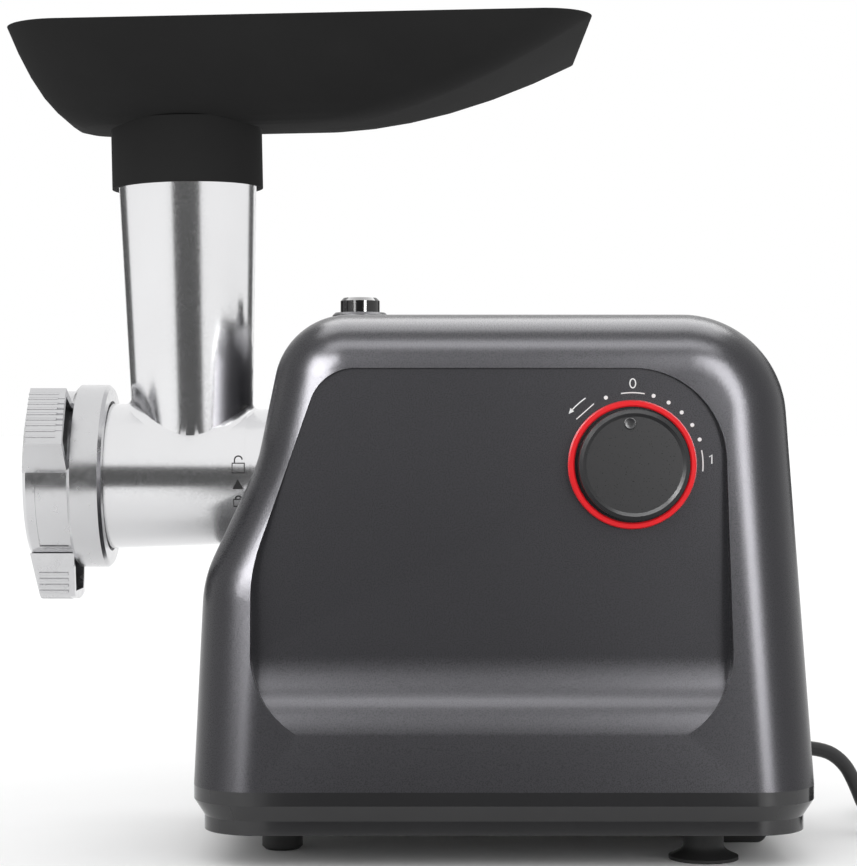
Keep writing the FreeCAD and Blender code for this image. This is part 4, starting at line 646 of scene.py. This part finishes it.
# Studio: pale floor, white surround, and soft boxes and dark cards that only reflections show
FLOOR_REACH = 80
LIGHT_DISTANCE = 1.6
LIGHT_AIM = Vector((0.03, 0, 0.12))
LIT_STRENGTH = 1.25
MIRRORED_STRENGTH = 1.05
SEEN_STRENGTH = 1
MAT_Z = 0.002
FLAG_FOOT, FLAG_TOP = 0.1, 0.6


def new_sheet(name, corners, material):
    """Flat four-cornered piece of the studio."""
    mesh = bpy.data.meshes.new(name)
    mesh.from_pydata(corners, [], [(0, 1, 2, 3)])
    sheet = bpy.data.objects.new(name, mesh)
    scene.collection.objects.link(sheet)
    sheet.data.materials.append(material)
    return sheet


def direction(azimuth, elevation):
    """Unit vector from the object; azimuth turns from the camera's side towards +X."""
    across, up = math.radians(azimuth), math.radians(elevation)
    return Vector((math.sin(across) * math.cos(up), -math.cos(across) * math.cos(up), math.sin(up)))


def soft_box(name, azimuth, elevation, size, radiance, on):
    """Rectangular light aimed at the grinder, seen only as a reflection in the pieces named."""
    data = bpy.data.lights.new(name, "AREA")
    data.shape = "RECTANGLE"
    data.size, data.size_y = size
    data.energy = radiance * math.pi * size[0] * size[1]
    lamp = bpy.data.objects.new(name, data)
    scene.collection.objects.link(lamp)
    aim = direction(azimuth, elevation)
    lamp.location = LIGHT_AIM + aim * LIGHT_DISTANCE
    lamp.rotation_euler = (-aim).to_track_quat("-Z", "Y").to_euler()
    lamp.visible_camera = False
    lamp.visible_diffuse = False
    lamp.light_linking.receiver_collection = on
    lamp.light_linking.blocker_collection = on


def dark_card(name, corners):
    """Dark flag that only reflections see."""
    card = new_sheet(name, corners, card_black)
    card.visible_camera = False
    card.visible_diffuse = False
    card.visible_shadow = False


def upright(first, last, foot, top):
    """Corners of an upright card over a line on the floor."""
    return [(*first, foot), (*last, foot), (*last, top), (*first, top)]


def mat(*corners):
    """Corners of a card that lies just over the floor."""
    return [(*corner, MAT_Z) for corner in corners]


def white_world():
    """White behind the object; what lights it and what it mirrors are set apart."""
    world = bpy.data.worlds.new("studio")
    scene.world = world
    world.use_nodes = True
    tree = world.node_tree
    tree.nodes.clear()
    backgrounds = []
    for strength in (LIT_STRENGTH, MIRRORED_STRENGTH, SEEN_STRENGTH):
        background = tree.nodes.new("ShaderNodeBackground")
        background.inputs["Color"].default_value = (1, 1, 1, 1)
        background.inputs["Strength"].default_value = strength
        backgrounds.append(background.outputs["Background"])
    lit, mirrored, seen = backgrounds
    rays = tree.nodes.new("ShaderNodeLightPath")
    by_gloss = tree.nodes.new("ShaderNodeMixShader")
    by_camera = tree.nodes.new("ShaderNodeMixShader")
    end = tree.nodes.new("ShaderNodeOutputWorld")
    tree.links.new(rays.outputs["Is Glossy Ray"], by_gloss.inputs["Fac"])
    tree.links.new(lit, by_gloss.inputs[1])
    tree.links.new(mirrored, by_gloss.inputs[2])
    tree.links.new(rays.outputs["Is Camera Ray"], by_camera.inputs["Fac"])
    tree.links.new(by_gloss.outputs["Shader"], by_camera.inputs[1])
    tree.links.new(seen, by_camera.inputs[2])
    tree.links.new(by_camera.outputs["Shader"], end.inputs["Surface"])


pale_floor = finish_material("pale_floor", (0.9, 0.9, 0.9), vary=0.005, roughness=0.7, rough_vary=0.02,
                             grain=20, specular=0.0)
card_black = finish_material("card_black", (0.08, 0.08, 0.08), vary=0.05, roughness=0.9, rough_vary=0.02,
                             grain=20, specular=0.0)
floor = new_sheet("floor", [(-FLOOR_REACH, -FLOOR_REACH, 0), (FLOOR_REACH, -FLOOR_REACH, 0),
                            (FLOOR_REACH, FLOOR_REACH, 0), (-FLOOR_REACH, FLOOR_REACH, 0)], pale_floor)
white_world()
dark_card("front_flag", upright((-0.85, -2), (0.85, -2), 0, 0.72))
dark_card("near_mat", mat((-0.1, -0.48), (0.17, -0.48), (0.15, -0.13), (-0.06, -0.13)))
dark_card("front_mat", mat((-0.85, -2), (0.85, -2), (0.3, -0.48), (-0.32, -0.48)))
dark_card("left_flag", upright((-1.24, 0.66), (-0.66, 1.24), FLAG_FOOT, FLAG_TOP))
dark_card("right_flag", upright((1.04, 0.94), (0.57, 1.28), FLAG_FOOT, FLAG_TOP))
satin = bpy.data.collections.new("satin_pieces")
for name in ("housing_shell", "base_pan", "control_knob", "knob_ring", "release_button"):
    satin.objects.link(nodes[name])
satin.objects.link(thumb_mark)
nodes["food_tray"].visible_glossy = False
soft_box("left_box", -38, 25, (1.0, 0.9), 50, satin)
soft_box("left_low_box", -32, 4, (0.3, 0.5), 9, satin)
soft_box("right_box", 27, 24, (0.55, 0.9), 34, satin)
soft_box("right_low_box", 30, 2, (0.4, 0.5), 32, satin)
soft_box("back_box", 180, 68, (1.8, 1.2), 7, satin)
soft_box("front_box", 0, 62, (1.6, 0.4), 15, satin)

# Camera, level with the middle of the grinder's side
camera_data = bpy.data.cameras.new("camera")
camera_data.sensor_fit = "HORIZONTAL"
camera_data.sensor_width = 36
camera_data.lens = 96.78
camera_data.clip_start = 0.01
camera = bpy.data.objects.new("camera", camera_data)
scene.collection.objects.link(camera)
camera.location = (0.006, -0.9, 0.1577)
camera.rotation_euler = (math.radians(90), 0, 0)
scene.camera = camera
scene.view_settings.view_transform = "Standard"
